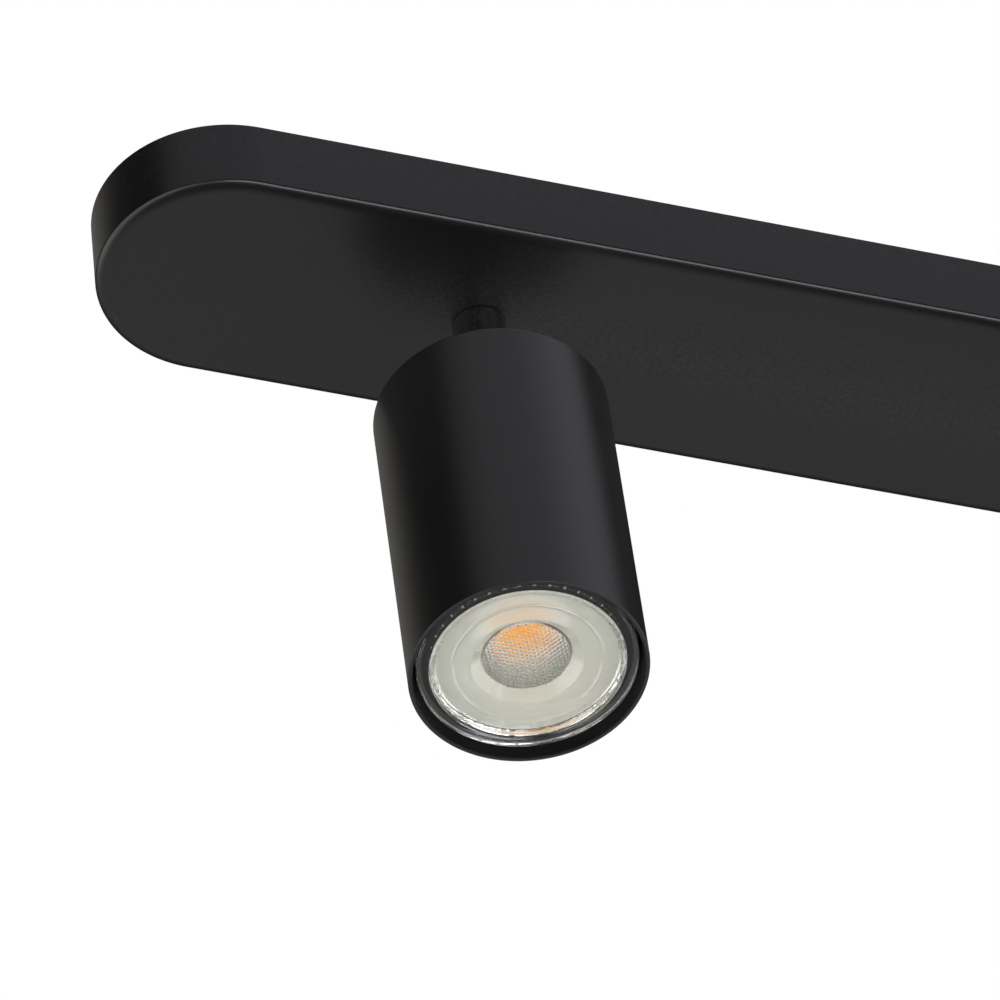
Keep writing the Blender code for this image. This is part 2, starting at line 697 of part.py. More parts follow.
def build_holder(tag, head):
    """Strap under the head's top, the lampholder under its ears, and two screws."""
    nut_low = -(HEAD_TOP + GAP + STRAP_THICKNESS + GAP + NUT_HEIGHT)
    nut(f"knuckle_nut_{tag}", nut_low, NUT_HEIGHT, NUT_ACROSS, THREAD_RADIUS, head, ZINC)

    top = -(HEAD_TOP + GAP)
    ear_low = -(HOLDER_TOP_DROP - GAP)
    ear_high = ear_low + STRAP_THICKNESS
    outer = HOLDER_LENGTH / 2 + STRAP_THICKNESS
    inner = outer - STRAP_THICKNESS
    right = [(outer, top), (outer, ear_low), (outer - STRAP_EAR, ear_low)]
    right += [(outer - STRAP_EAR, ear_high), (inner, ear_high), (inner, top - STRAP_THICKNESS)]
    left = [(-x, z) for x, z in reversed(right)]
    strap = prism(
        f"holder_strap_{tag}", right + left, -STRAP_WIDTH / 2, STRAP_WIDTH / 2, head, ZINC
    )
    strap.data.transform(Matrix.Rotation(math.pi / 2, 4, "X"))
    hole = cylinder(
        f"cut_strap_hole_{tag}", THREAD_RADIUS + GAP, top - STRAP_THICKNESS - MM, top + MM, head
    )
    cut(strap, hole)

    high_z = -HOLDER_TOP_DROP
    low_z = high_z - HOLDER_HEIGHT
    holder = block(
        f"lampholder_{tag}",
        (-HOLDER_LENGTH / 2, -HOLDER_WIDTH / 2, low_z),
        (HOLDER_LENGTH / 2, HOLDER_WIDTH / 2, high_z),
        head,
        CERAMIC,
    )
    neck_room = PIN_RADIUS + PIN_CLEARANCE
    cavity_high = low_z + PIN_LENGTH + PIN_CLEARANCE + MM
    for end, rest_angle in (("a", math.pi / 2), ("b", -math.pi / 2)):
        # A turn that unlocks runs clockwise seen from above, so to smaller angles.
        free_angle = rest_angle - LOCK_TURN
        entry = (
            PIN_SPACING / 2 * math.cos(free_angle),
            PIN_SPACING / 2 * math.sin(free_angle),
        )
        cavity = prism(
            f"cut_lock_cavity_{tag}{end}",
            kidney(PIN_SPACING / 2, FOOT_ROOM, free_angle, rest_angle),
            low_z + HOLDER_FACE,
            cavity_high,
            head,
        )
        cut(holder, cavity)
        neck_slot = prism(
            f"cut_lock_slot_{tag}{end}",
            kidney(PIN_SPACING / 2, neck_room, free_angle, rest_angle),
            low_z - MM,
            low_z + HOLDER_FACE + MM,
            head,
        )
        cut(holder, neck_slot)
        entry_hole = cylinder(
            f"cut_lock_entry_{tag}{end}",
            FOOT_ROOM,
            low_z - MM,
            low_z + HOLDER_FACE + MM,
            head,
            steps=HOLE_STEPS,
        )
        entry_hole.location = (*entry, 0)
        cut(holder, entry_hole)

    head_room = HOLDER_SCREW_HEAD_HEIGHT + GAP
    screw_top = ear_high + MM
    for end, side in (("a", -1), ("b", 1)):
        x = side * HOLDER_SCREW_SPACING / 2
        for target, name in ((holder, "holder"), (strap, "strap")):
            bore = cylinder(
                f"cut_{name}_screw_{tag}{end}",
                HOLDER_SCREW_RADIUS + GAP,
                low_z - MM,
                screw_top + MM,
                head,
                steps=HOLE_STEPS,
            )
            bore.location.x = x
            cut(target, bore)
        recess = cylinder(
            f"cut_screw_recess_{tag}{end}",
            HOLDER_SCREW_HEAD + GAP,
            low_z - MM,
            low_z + head_room + GAP,
            head,
            steps=HOLE_STEPS,
        )
        recess.location.x = x
        cut(holder, recess)
        head_low = low_z + GAP
        head_high = head_low + HOLDER_SCREW_HEAD_HEIGHT
        screw = revolve(
            f"holder_screw_{tag}{end}",
            [
                (0, screw_top),
                (HOLDER_SCREW_RADIUS, screw_top),
                (HOLDER_SCREW_RADIUS, head_high),
                (HOLDER_SCREW_HEAD, head_high),
                (HOLDER_SCREW_HEAD, head_low),
                (0, head_low),
            ],
            head,
            ZINC,
            steps=HOLE_STEPS,
        )
        screw.location.x = x
        slot = block(
            f"cut_screw_slot_{tag}{end}",
            (-HOLDER_SCREW_HEAD - MM, -0.35 * MM, head_low - MM),
            (HOLDER_SCREW_HEAD + MM, 0.35 * MM, head_low + 0.8 * MM),
            screw,
        )
        cut(screw, slot)


def build_lamp(tag, head):
    """Reflector body, front lens, light-emitting chip and twist-lock base with two pins."""
    face = -LAMP_FACE_DROP
    seat = -LAMP_SEAT_DROP
    neck_low = seat - LAMP_BASE_SHOWN
    neck_high_inside = LAMP_BASE_RADIUS + GAP
    rim_back = face + LAMP_RIM_HEIGHT
    lens_seat = face + LENS_THICKNESS + GAP
    bowl_depth = neck_low - rim_back
    outer = [(LAMP_NECK_RADIUS, neck_low)]
    inner = []
    # The bowl opens like a deep parabola from the neck to the rim.
    bowl_top = neck_low - 6 * MM
    bowl_radius = LAMP_RADIUS - 1.2 * MM
    bowl_steps = 4
    for step in range(bowl_steps + 1):
        share = step / bowl_steps
        radius = LAMP_NECK_RADIUS + (bowl_radius - LAMP_NECK_RADIUS) * math.sqrt(share)
        z = bowl_top + (rim_back - bowl_top) * share
        outer.append((radius, z))
        inner.append((radius - LAMP_WALL, z))
    outer += [(LAMP_RADIUS, rim_back), (LAMP_RADIUS, face + 0.4 * MM)]
    outer += [(LAMP_RADIUS - 0.4 * MM, face), (LENS_RADIUS + GAP, face)]
    outer += [(LENS_RADIUS + GAP, lens_seat)]
    inner = [point for point in inner if point[1] > lens_seat + MM]
    inner = [(max(r, neck_high_inside), z) for r, z in inner]
    back = [(LENS_RADIUS - 1.2 * MM, lens_seat)] + inner[::-1] + [(neck_high_inside, neck_low)]
    revolve(f"lamp_body_{tag}", outer + back, head, GLASS, steps=LAMP_STEPS)

    lens_back = face + LENS_THICKNESS
    well_floor = face + LENS_WELL_DEPTH
    thickness = 1.6 * MM
    lens = [(0, well_floor + thickness), (LENS_WELL_FLOOR + 1.2 * MM, well_floor + thickness)]
    lens += [(LENS_WELL_RADIUS + 1.4 * MM, lens_back), (LENS_RADIUS, lens_back)]
    lens += [(LENS_RADIUS, face + 0.2 * MM), (LENS_RADIUS - 0.5 * MM, face + 0.2 * MM)]
    lens += [(LENS_RADIUS - 1.5 * MM, face + 0.9 * MM), (LENS_WELL_RADIUS, face + 0.9 * MM)]
    lens += [(LENS_WELL_FLOOR, well_floor), (0, well_floor)]
    revolve(f"lamp_lens_{tag}", lens, head, LENS, steps=LAMP_STEPS)

    chip_z = face + CHIP_SETBACK
    board = [(0, chip_z + 1.6 * MM), (CHIP_BOARD_RADIUS, chip_z + 1.6 * MM)]
    board += [(CHIP_BOARD_RADIUS, chip_z), (CHIP_DOT_RADIUS, chip_z)]
    board += [(CHIP_DOT_RADIUS - 0.3 * MM, chip_z - 0.6 * MM), (0, chip_z - 0.6 * MM)]
    revolve(f"lamp_chip_{tag}", board, head, PHOSPHOR, steps=SMALL_STEPS)

    plug_low = chip_z + 1.6 * MM + GAP
    base = revolve(
        f"lamp_base_{tag}",
        [
            (0, seat),
            (LAMP_BASE_RADIUS - 0.8 * MM, seat),
            (LAMP_BASE_RADIUS, seat - 0.8 * MM),
            (LAMP_BASE_RADIUS, neck_low - 10 * MM),
            (CHIP_BOARD_RADIUS, plug_low),
            (0, plug_low),
        ],
        head,
        CERAMIC,
        steps=SMALL_STEPS,
    )
    for end, side in (("a", 1), ("b", -1)):
        foot_low = seat + PIN_LENGTH - PIN_FOOT_HEIGHT
        pin = revolve(
            f"join_pin_{tag}{end}",
            [
                (0, seat + PIN_LENGTH),
                (PIN_FOOT_RADIUS, seat + PIN_LENGTH),
                (PIN_FOOT_RADIUS, foot_low),
                (PIN_RADIUS, foot_low),
                (PIN_RADIUS, seat - MM),
                (0, seat - MM),
            ],
            head,
            None,
            steps=HOLE_STEPS,
        )
        pin.location.y = side * PIN_SPACING / 2
        cut(base, pin, "UNION")


def build_head_lead(tag, head):
    """Sleeved lead from the knuckle's hollow down to the back of the lampholder."""
    start_z = PIVOT_TO_HEAD - SHOULDER
    step = (HOLDER_TOP_DROP - THREAD_LENGTH) / 4
    end_z = -HOLDER_TOP_DROP + GAP
    route = [
        (0, 0, start_z),
        (0, 0, -THREAD_LENGTH - step),
        (0, step, -THREAD_LENGTH - 3 * step),
        (0, step, end_z),
    ]
    tube(f"head_lead_{tag}", route, LEAD_RADIUS, step, head, SLEEVE)


def build_head(number, x):
    """One stem with its knuckle, shell, lampholder, lamp and lead."""
    swivel = empty(f"swivel_axis_{number}", (x, 0, FACE_Z))
    tilt = empty(f"tilt_axis_{number}", (0, 0, -PIVOT_DROP), swivel, -REST_TILT)
    head = empty(f"head_frame_{number}", (0, 0, -PIVOT_TO_HEAD), tilt)
    build_stem_fixings(number, swivel)
    build_knuckle(number, swivel, tilt)
    build_shell(number, head)
    build_holder(number, head)
    build_lamp(number, head)
    build_head_lead(number, head)


clear_scene()
PIECES = collection("ceiling_spot_bar")
CUTTERS = collection("cutters", is_helper=True)
BLACK_COAT = material("black_powder_coat", (0.022, 0.022, 0.024), 0.5)
ZINC = material("zinc_plated_steel", (0.55, 0.56, 0.58), 0.35, 1.0)
STEEL = material("dark_steel", (0.12, 0.12, 0.13), 0.4, 1.0)
BRASS = material("brass", (0.72, 0.54, 0.24), 0.3, 1.0)
WHITE_PLASTIC = material("white_plastic", (0.85, 0.85, 0.82), 0.45)
SLEEVE = material("glass_fibre_sleeve", (0.75, 0.72, 0.66), 0.8)
CERAMIC = material("white_ceramic", (0.86, 0.85, 0.81), 0.4)
GLASS = material("pressed_glass", (0.80, 0.82, 0.80), 0.15)
LENS = material("lens", (0.84, 0.86, 0.82), 0.08)
PHOSPHOR = material("phosphor", (0.95, 0.55, 0.10), 0.6)

build_canopy()
build_ceiling_bracket()
build_cover_screws()
build_earth_stud()
build_terminal_block()
build_canopy_leads()
for head_number, head_x in enumerate(HEAD_PLACES, 1):
    build_head(head_number, head_x)
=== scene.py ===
"""Ceiling bar light with three adjustable spot heads: the finished surfaces round the fixed frame.

The bar runs along X under a ceiling at z = 0. Each head turns on a hollow stem, tilts on a
half-lap knuckle and holds a twist-lock reflector lamp. All sizes are in metres.
"""

import json
import math

import bmesh
import bpy
import numpy as np
from mathutils import Matrix, Vector


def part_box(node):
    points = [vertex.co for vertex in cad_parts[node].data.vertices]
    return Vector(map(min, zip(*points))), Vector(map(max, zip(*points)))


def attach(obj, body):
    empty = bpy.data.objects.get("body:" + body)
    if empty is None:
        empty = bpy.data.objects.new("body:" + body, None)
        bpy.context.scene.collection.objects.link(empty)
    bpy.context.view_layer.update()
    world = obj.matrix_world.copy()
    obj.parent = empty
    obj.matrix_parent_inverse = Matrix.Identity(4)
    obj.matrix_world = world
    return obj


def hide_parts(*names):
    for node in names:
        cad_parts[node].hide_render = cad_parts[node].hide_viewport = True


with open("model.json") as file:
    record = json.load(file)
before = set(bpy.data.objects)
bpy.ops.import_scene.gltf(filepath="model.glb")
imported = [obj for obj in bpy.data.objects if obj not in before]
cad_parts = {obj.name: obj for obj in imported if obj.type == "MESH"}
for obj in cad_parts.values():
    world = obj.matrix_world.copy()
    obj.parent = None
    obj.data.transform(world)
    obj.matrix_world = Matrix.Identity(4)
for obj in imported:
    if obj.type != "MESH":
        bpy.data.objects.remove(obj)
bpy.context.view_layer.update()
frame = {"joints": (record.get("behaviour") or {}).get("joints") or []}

MM = 0.001

# ---------------------------------------------------------------------------------------------
# Canopy: a tray pressed from 1 mm sheet steel with half-round ends, its face easing into a tight
# bend. It is powder coated satin black inside and out, and four side screws hold it to the
# bracket.
CANOPY_LOW, CANOPY_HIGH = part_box("canopy")
CANOPY_WALL = 1.0 * MM
CANOPY_BEND = 1.4 * MM
CANOPY_EASE = 3.4 * MM
STEM_HOLE_RADIUS = 5.3 * MM
COVER_HOLE_RADIUS = 2.3 * MM
COVER_SCREW_X = 38 * MM
COVER_SCREW_Y = CANOPY_HIGH.y
COVER_SCREW_Z = -7 * MM
COVER_SCREW_PLACES = [(x, side) for x in (-COVER_SCREW_X, COVER_SCREW_X) for side in (-1, 1)]
HEAD_NUMBERS = (1, 2, 3)
COAT_BLACK = (0.0038, 0.0038, 0.0040, 1)
COAT_GREY = (0.0100, 0.0102, 0.0112, 1)

JOINTS = {joint["name"]: joint for joint in frame["joints"]}
HEAD_X = {n: JOINTS[f"head_{n}_swivel"]["pos_m"][0] for n in HEAD_NUMBERS}


def add_node(tree, kind, **settings):
    """A shader node with its properties set, and its sockets filled with values or links."""
    made = tree.nodes.new(kind)
    sockets = settings.pop("sockets", {})
    for name, value in settings.items():
        setattr(made, name, value)
    for name, value in sockets.items():
        if isinstance(value, bpy.types.NodeSocket):
            tree.links.new(value, made.inputs[name])
        else:
            made.inputs[name].default_value = value
    return made


def maths(tree, operation, first, second=0.0):
    """What a maths node gives for two values or links."""
    sockets = {0: first, 1: second}
    return add_node(tree, "ShaderNodeMath", operation=operation, sockets=sockets).outputs["Value"]


def vector_maths(tree, operation, first, second):
    """What a vector maths node gives: a number for DOT_PRODUCT, and a vector otherwise."""
    sockets = {0: first, 1: second}
    made = add_node(tree, "ShaderNodeVectorMath", operation=operation, sockets=sockets)
    return made.outputs["Value" if operation == "DOT_PRODUCT" else "Vector"]


def noise(tree, place, scale, detail):
    sockets = {"Vector": place, "Scale": scale, "Detail": detail}
    return add_node(tree, "ShaderNodeTexNoise", sockets=sockets).outputs["Fac"]


def ranged(tree, value, low, high, start=0.0, end=1.0, steepness="LINEAR"):
    """The value's stretch from start to end, spread from low to high."""
    sockets = {"Value": value, "From Min": start, "From Max": end, "To Min": low, "To Max": high}
    made = add_node(
        tree, "ShaderNodeMapRange", interpolation_type=steepness, sockets=sockets
    )
    return made.outputs["Result"]


def new_group(name, inputs, outputs):
    """An empty node group with float inputs, and float or colour outputs."""
    group = bpy.data.node_groups.new(name, "ShaderNodeTree")
    for label, value in inputs.items():
        socket = group.interface.new_socket(label, in_out="INPUT", socket_type="NodeSocketFloat")
        socket.default_value = value
    for label, kind in outputs.items():
        group.interface.new_socket(label, in_out="OUTPUT", socket_type=kind)
    return group, group.nodes.new("NodeGroupInput"), group.nodes.new("NodeGroupOutput")


def use_group(tree, group, **values):
    placed = tree.nodes.new("ShaderNodeGroup")
    placed.node_tree = group
    for name, value in values.items():
        placed.inputs[name].default_value = value
    return placed


def make_grain_group():
    """Fine pebbled grain: a height, and a slower tone that varies over a hand's width."""
    group, given, out = new_group(
        "pebbled_grain", {"Scale": 2600.0}, {"Height": "NodeSocketFloat", "Tone": "NodeSocketFloat"}
    )
    place = add_node(group, "ShaderNodeTexCoord").outputs["Object"]
    group.links.new(noise(group, place, given.outputs["Scale"], 2.0), out.inputs["Height"])
    group.links.new(noise(group, place, 40.0, 3.0), out.inputs["Tone"])
    return group


def make_edge_wear_group():
    """A mask that is 1 along rubbed outer edges, broken up by noise."""
    group, given, out = new_group("edge_wear", {"Amount": 1.0}, {"Mask": "NodeSocketFloat"})
    edge = add_node(group, "ShaderNodeNewGeometry").outputs["Pointiness"]
    place = add_node(group, "ShaderNodeTexCoord").outputs["Object"]
    sharp = ranged(group, edge, 0.0, 1.0, 0.51, 0.60)
    chips = ranged(group, noise(group, place, 900.0, 4.0), 0.0, 1.0, 0.42, 0.66)
    worn = maths(group, "MULTIPLY", maths(group, "MULTIPLY", sharp, chips), given.outputs["Amount"])
    group.links.new(worn, out.inputs["Mask"])
    return group


GRAIN = make_grain_group()
EDGE_WEAR = make_edge_wear_group()


def new_finish(name, **sockets):
    """A material with its Principled shader's plain values set."""
    made = bpy.data.materials.new(name)
    made.use_nodes = True
    tree = made.node_tree
    shader = tree.nodes["Principled BSDF"]
    for label, value in sockets.items():
        shader.inputs[label.replace("_", " ")].default_value = value
    return made, tree, shader


def blended(tree, mask, low, high):
    """A colour that goes from low to high as the mask goes from 0 to 1."""
    mix = add_node(tree, "ShaderNodeMix", data_type="RGBA")
    tree.links.new(mask, mix.inputs[0])
    for slot, value in ((6, low), (7, high)):
        if isinstance(value, bpy.types.NodeSocket):
            tree.links.new(value, mix.inputs[slot])
        else:
            mix.inputs[slot].default_value = value
    return mix.outputs[2]


def embossed(tree, shader, height, depth):
    """Bumps of that depth in metres, from a height between 0 and 1."""
    bump = add_node(
        tree, "ShaderNodeBump", sockets={"Height": height, "Distance": depth, "Strength": 1.0}
    )
    tree.links.new(bump.outputs["Normal"], shader.inputs["Normal"])


def make_powder_coat(name, grain_scale, grain_depth, roughness, wear, gloss=0.5):
    """Satin black powder coat with a fine texture, greyer where its edges are rubbed."""
    made, tree, shader = new_finish(name, Specular_IOR_Level=gloss)
    grain = use_group(tree, GRAIN, Scale=grain_scale)
    rubbed = use_group(tree, EDGE_WEAR, Amount=wear)
    speck = ranged(tree, grain.outputs["Height"], 0.0, 0.5, 0.45, 0.8)
    base = blended(tree, speck, COAT_BLACK, COAT_GREY)
    colour = blended(tree, rubbed.outputs["Mask"], base, (0.026, 0.027, 0.030, 1))
    tree.links.new(colour, shader.inputs["Base Color"])
    sheen = ranged(tree, grain.outputs["Tone"], roughness - 0.03, roughness + 0.03)
    tree.links.new(sheen, shader.inputs["Roughness"])
    embossed(tree, shader, grain.outputs["Height"], grain_depth)
    return made


CANOPY_COAT = make_powder_coat("canopy_powder_coat", 2200.0, 0.008 * MM, 0.31, 0.5, 0.41)


def arc(radius, start, end, steps):
    """Points on an arc round the origin, with angles in degrees."""
    angles = [math.radians(start + (end - start) * i / steps) for i in range(steps + 1)]
    return [(radius * math.cos(a), radius * math.sin(a)) for a in angles]


def rounded(points, radius, steps=4, closed=True):
    """The outline with its corners rounded, each by no more than its sides allow."""
    made = []
    count = len(points)
    for i, corner in enumerate(points):
        if not closed and i in (0, count - 1):
            made.append(tuple(corner))
            continue
        here = Vector(corner)
        before = Vector(points[i - 1]) - here
        after = Vector(points[(i + 1) % count]) - here
        turn = math.pi - before.angle(after)
        if turn < 0.05:
            made.append(tuple(corner))
            continue
        reach = min(radius * math.tan(turn / 2), before.length * 0.45, after.length * 0.45)
        start = here + before.normalized() * reach
        end = here + after.normalized() * reach
        for step in range(steps + 1):
            share = step / steps
            inward = start.lerp(here, share)
            outward = here.lerp(end, share)
            made.append(tuple(inward.lerp(outward, share)))
    return made


def place_piece(name, bm, finishes, body, node, matrix=None, sharp=38):
    """Makes the piece, sets it in place, and has it ride and stand for its node."""
    if bm.calc_volume(signed=True) < 0:
        bmesh.ops.reverse_faces(bm, faces=bm.faces)
    data = bpy.data.meshes.new(name)
    bm.to_mesh(data)
    bm.free()
    data.shade_smooth()
    data.set_sharp_from_angle(angle=math.radians(sharp))
    for finish in finishes if isinstance(finishes, (list, tuple)) else [finishes]:
        data.materials.append(finish)
    piece = bpy.data.objects.new(name, data)
    bpy.context.scene.collection.objects.link(piece)
    # Small bevels take their shading from the large flat faces beside them.
    even = piece.modifiers.new("even_shading", "WEIGHTED_NORMAL")
    even.keep_sharp = True
    graph = bpy.context.evaluated_depsgraph_get()
    piece.data = bpy.data.meshes.new_from_object(
        piece.evaluated_get(graph), preserve_all_data_layers=True, depsgraph=graph
    )
    piece.modifiers.clear()
    bpy.data.meshes.remove(data)
    piece.data.name = name
    if matrix is not None:
        piece.matrix_world = matrix
    bpy.context.view_layer.update()
    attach(piece, body)
    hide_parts(node)


def cut_away(bm, cutters, operation="DIFFERENCE"):
    """The mesh after each cutter mesh is taken from it, or joined to or crossed with it."""
    scratch = bpy.data.meshes.new("scratch")
    bm.to_mesh(scratch)
    bm.free()
    block = bpy.data.objects.new("scratch", scratch)
    bpy.context.scene.collection.objects.link(block)
    helpers = []
    for number, cutter in enumerate(cutters):
        if cutter.calc_volume(signed=True) < 0:
            bmesh.ops.reverse_faces(cutter, faces=cutter.faces)
        shape = bpy.data.meshes.new(f"cutter_{number}")
        cutter.to_mesh(shape)
        cutter.free()
        helper = bpy.data.objects.new(f"cutter_{number}", shape)
        bpy.context.scene.collection.objects.link(helper)
        change = block.modifiers.new(f"cut_{number}", "BOOLEAN")
        change.operation = operation
        change.object = helper
        helpers.append(helper)
    graph = bpy.context.evaluated_depsgraph_get()
    graph.update()
    done = bmesh.new()
    done.from_mesh(block.evaluated_get(graph).to_mesh())
    for helper in helpers + [block]:
        bpy.data.objects.remove(helper, do_unlink=True)
    return done


def soften(bm, width, angle=35, steps=2):
    """Rounds every edge that is sharper than the angle."""
    bmesh.ops.remove_doubles(bm, verts=bm.verts, dist=0.004 * MM)
    bmesh.ops.dissolve_degenerate(bm, edges=bm.edges, dist=0.004 * MM)
    edges = [
        edge
        for edge in bm.edges
        if len(edge.link_faces) == 2 and edge.calc_face_angle() > math.radians(angle)
    ]
    bmesh.ops.bevel(
        bm,
        geom=edges,
        offset=width,
        segments=steps,
        profile=0.5,
        affect="EDGES",
        clamp_overlap=True,
    )
    return bm


def cylinder(radius, low, high, axis="Z", centre=(0, 0, 0), steps=48):
    bm = bmesh.new()
    bmesh.ops.create_cone(
        bm, cap_ends=True, segments=steps, radius1=radius, radius2=radius, depth=high - low
    )
    bm.transform(Matrix.Translation((0, 0, (low + high) / 2)))
    turns = {"X": Matrix.Rotation(math.pi / 2, 4, "Y"), "Y": Matrix.Rotation(-math.pi / 2, 4, "X")}
    bm.transform(turns.get(axis, Matrix.Identity(4)))
    bm.transform(Matrix.Translation(centre))
    return bm


def box_mesh(low, high):
    low, high = Vector(low), Vector(high)
    bm = bmesh.new()
    bmesh.ops.create_cube(bm, size=1, matrix=Matrix.LocRotScale((low + high) / 2, None, high - low))
    return bm


def pill_outline(radius, half_length, end_steps=72, straight_steps=90):
    """A bar with half-round ends, with points along its straight sides too."""
    straight = half_length - radius
    right = [(straight + x, y) for x, y in arc(radius, -90, 90, end_steps)]
    left = [(-straight - x, -y) for x, y in arc(radius, -90, 90, end_steps)]
    across = [straight - 2 * straight * i / straight_steps for i in range(1, straight_steps)]
    return right + [(x, radius) for x in across] + left + [(-x, -radius) for x in across]


def make_canopy():
    half_length = CANOPY_HIGH.x
    half_width = CANOPY_HIGH.y
    face_z = CANOPY_LOW.z
    inner_bend = CANOPY_BEND - CANOPY_WALL
    edge = 0.15 * MM
    profile = [(CANOPY_WALL, -edge), (CANOPY_WALL - edge, 0), (edge, 0), (0, -edge)]
    profile += [
        (CANOPY_EASE * (1 - out), face_z + CANOPY_BEND * (1 - down))
        for out, down in arc(1, 0, 90, 24)
    ]
    inner = [
        (CANOPY_WALL + inner_bend - out, face_z + CANOPY_BEND - down)
        for out, down in arc(inner_bend, 0, 90, 6)
    ]
    rings = inner[::-1] + profile
    bm = bmesh.new()
    loops = []
    for inset, z in rings:
        outline = pill_outline(half_width - inset, half_length - inset)
        loops.append([bm.verts.new((x, y, z)) for x, y in outline])
    for low, high in zip(loops, loops[1:]):
        for i, corner in enumerate(low):
            bm.faces.new((low[i - 1], corner, high[i], high[i - 1]))
    bm.faces.new(loops[0][::-1])
    bm.faces.new(loops[-1])
    cutters = [
        cylinder(STEM_HOLE_RADIUS, face_z - MM, face_z + 3 * MM, centre=(HEAD_X[n], 0, 0))
        for n in HEAD_NUMBERS
    ]
    cutters += [
        cylinder(
            COVER_HOLE_RADIUS, -2 * MM, 2 * MM, "Y", (x, side * half_width, COVER_SCREW_Z)
        )
        for x, side in COVER_SCREW_PLACES
    ]
    bm = cut_away(bm, cutters)
    place_piece("canopy_tray", bm, CANOPY_COAT, "bar", "canopy")


make_canopy()

# ---------------------------------------------------------------------------------------------
# Cover screws: black pan-head machine screws with a cross recess and an M3.5 thread. They go
# through the canopy's long sides into the bracket's ears.
COVER_SCREW_RADIUS = 1.8 * MM
COVER_SCREW_LENGTH = 6 * MM
COVER_HEAD_RADIUS = 3.8 * MM
COVER_HEAD_HEIGHT = 2.0 * MM
COVER_HEAD_CROWN = 1.1 * MM
COVER_SCREW_PITCH = 0.6 * MM
SEAT_GAP = 0.3 * MM
SCREW_BLACK = make_powder_coat("black_oxide_screw", 5200.0, 0.004 * MM, 0.36, 1.0)


def thread_rows(radius, start, end, pitch):
    """Rows (radius, z, depth) of a screw thread that fades out at both ends."""
    count = max(8, round(abs(end - start) / pitch * 8))
    rows = []
    for i in range(count + 1):
        z = start + (end - start) * i / count
        fade = min(1.0, abs(z - start) / pitch, abs(z - end) / pitch)
        rows.append((radius, z, 0.55 * pitch * fade))
    return rows


def turned(profile, steps=96, pitch=1.0):
    """Turns (radius, z) points round Z. A row's third number is how deep its thread is cut."""
    bm = bmesh.new()
    rings = []
    for row in profile:
        radius, z = row[0], row[1]
        depth = row[2] if len(row) > 2 else 0.0
        if radius < 1e-7:
            rings.append([bm.verts.new((0, 0, z))])
            continue
        ring = []
        for i in range(steps):
            phase = (z / pitch + i / steps) % 1.0
            cut = depth * abs(2 * phase - 1)
            angle = 2 * math.pi * i / steps
            reach = radius - cut
            ring.append(bm.verts.new((reach * math.cos(angle), reach * math.sin(angle), z)))
        rings.append(ring)
    pairs = list(zip(rings, rings[1:]))
    if len(rings[0]) > 1 and len(rings[-1]) > 1:
        pairs.append((rings[-1], rings[0]))
    for first, second in pairs:
        for i in range(steps):
            j = (i + 1) % steps
            if len(first) == 1 and len(second) == 1:
                continue
            if len(first) == 1:
                bm.faces.new((first[0], second[j], second[i]))
            elif len(second) == 1:
                bm.faces.new((first[i], first[j], second[0]))
            else:
                bm.faces.new((first[i], first[j], second[j], second[i]))
    return bm


def make_cover_screws():
    top = SEAT_GAP + COVER_HEAD_HEIGHT
    low = SEAT_GAP - COVER_SCREW_LENGTH
    full = 1 - math.cos(1.2)
    crown = [
        (COVER_HEAD_RADIUS * math.sin(a), top - COVER_HEAD_CROWN * (1 - math.cos(a)) / full)
        for a in [1.2 * i / 10 for i in range(11)]
    ]
    head = rounded(
        crown + [(COVER_HEAD_RADIUS, top - 1.2 * MM), (COVER_HEAD_RADIUS, SEAT_GAP)]
        + [(COVER_SCREW_RADIUS, SEAT_GAP)],
        0.15 * MM, closed=False,
    )
    shank_top, shank_low = SEAT_GAP - 0.2 * MM, low + 0.4 * MM
    shank = thread_rows(COVER_SCREW_RADIUS, shank_top, shank_low, COVER_SCREW_PITCH)
    tip = [(COVER_SCREW_RADIUS - 0.4 * MM, low), (0, low)]
    for number, (x, side) in enumerate(COVER_SCREW_PLACES, 1):
        bm = turned(head + shank + tip, 48, COVER_SCREW_PITCH)
        arm, half_slot, floor = 1.9 * MM, 0.42 * MM, top - 1.1 * MM
        arms = [
            box_mesh((-arm, -half_slot, floor), (arm, half_slot, top + MM)),
            box_mesh((-half_slot, -arm, floor), (half_slot, arm, top + MM)),
        ]
        bm = cut_away(bm, arms)
        matrix = Matrix.Translation((x, side * COVER_SCREW_Y, COVER_SCREW_Z))
        matrix = matrix @ Matrix.Rotation(-side * math.pi / 2, 4, "X")
        node = f"cover_screw_{number}"
        place_piece(f"pan_screw_{number}", bm, SCREW_BLACK, "bar", node, matrix)


make_cover_screws()

# ---------------------------------------------------------------------------------------------
# Ceiling bracket: a strap stamped from zinc-plated steel, with four turned-down ears, two
# slots for the ceiling screws and a hole for the supply cable.
BRACKET_LOW, BRACKET_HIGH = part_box("ceiling_bracket")
BRACKET_THICKNESS = 1.5 * MM
BRACKET_HALF_WIDTH = 14 * MM
EAR_WIDTH = 12 * MM
SLOT_OFFSET = 22 * MM
SLOT_HALF_LENGTH = 10 * MM
SLOT_RADIUS = 2.6 * MM
CABLE_HOLE_RADIUS = 6 * MM
CABLE_HOLE_X = 44 * MM
EAR_HOLE_RADIUS = 2.2 * MM


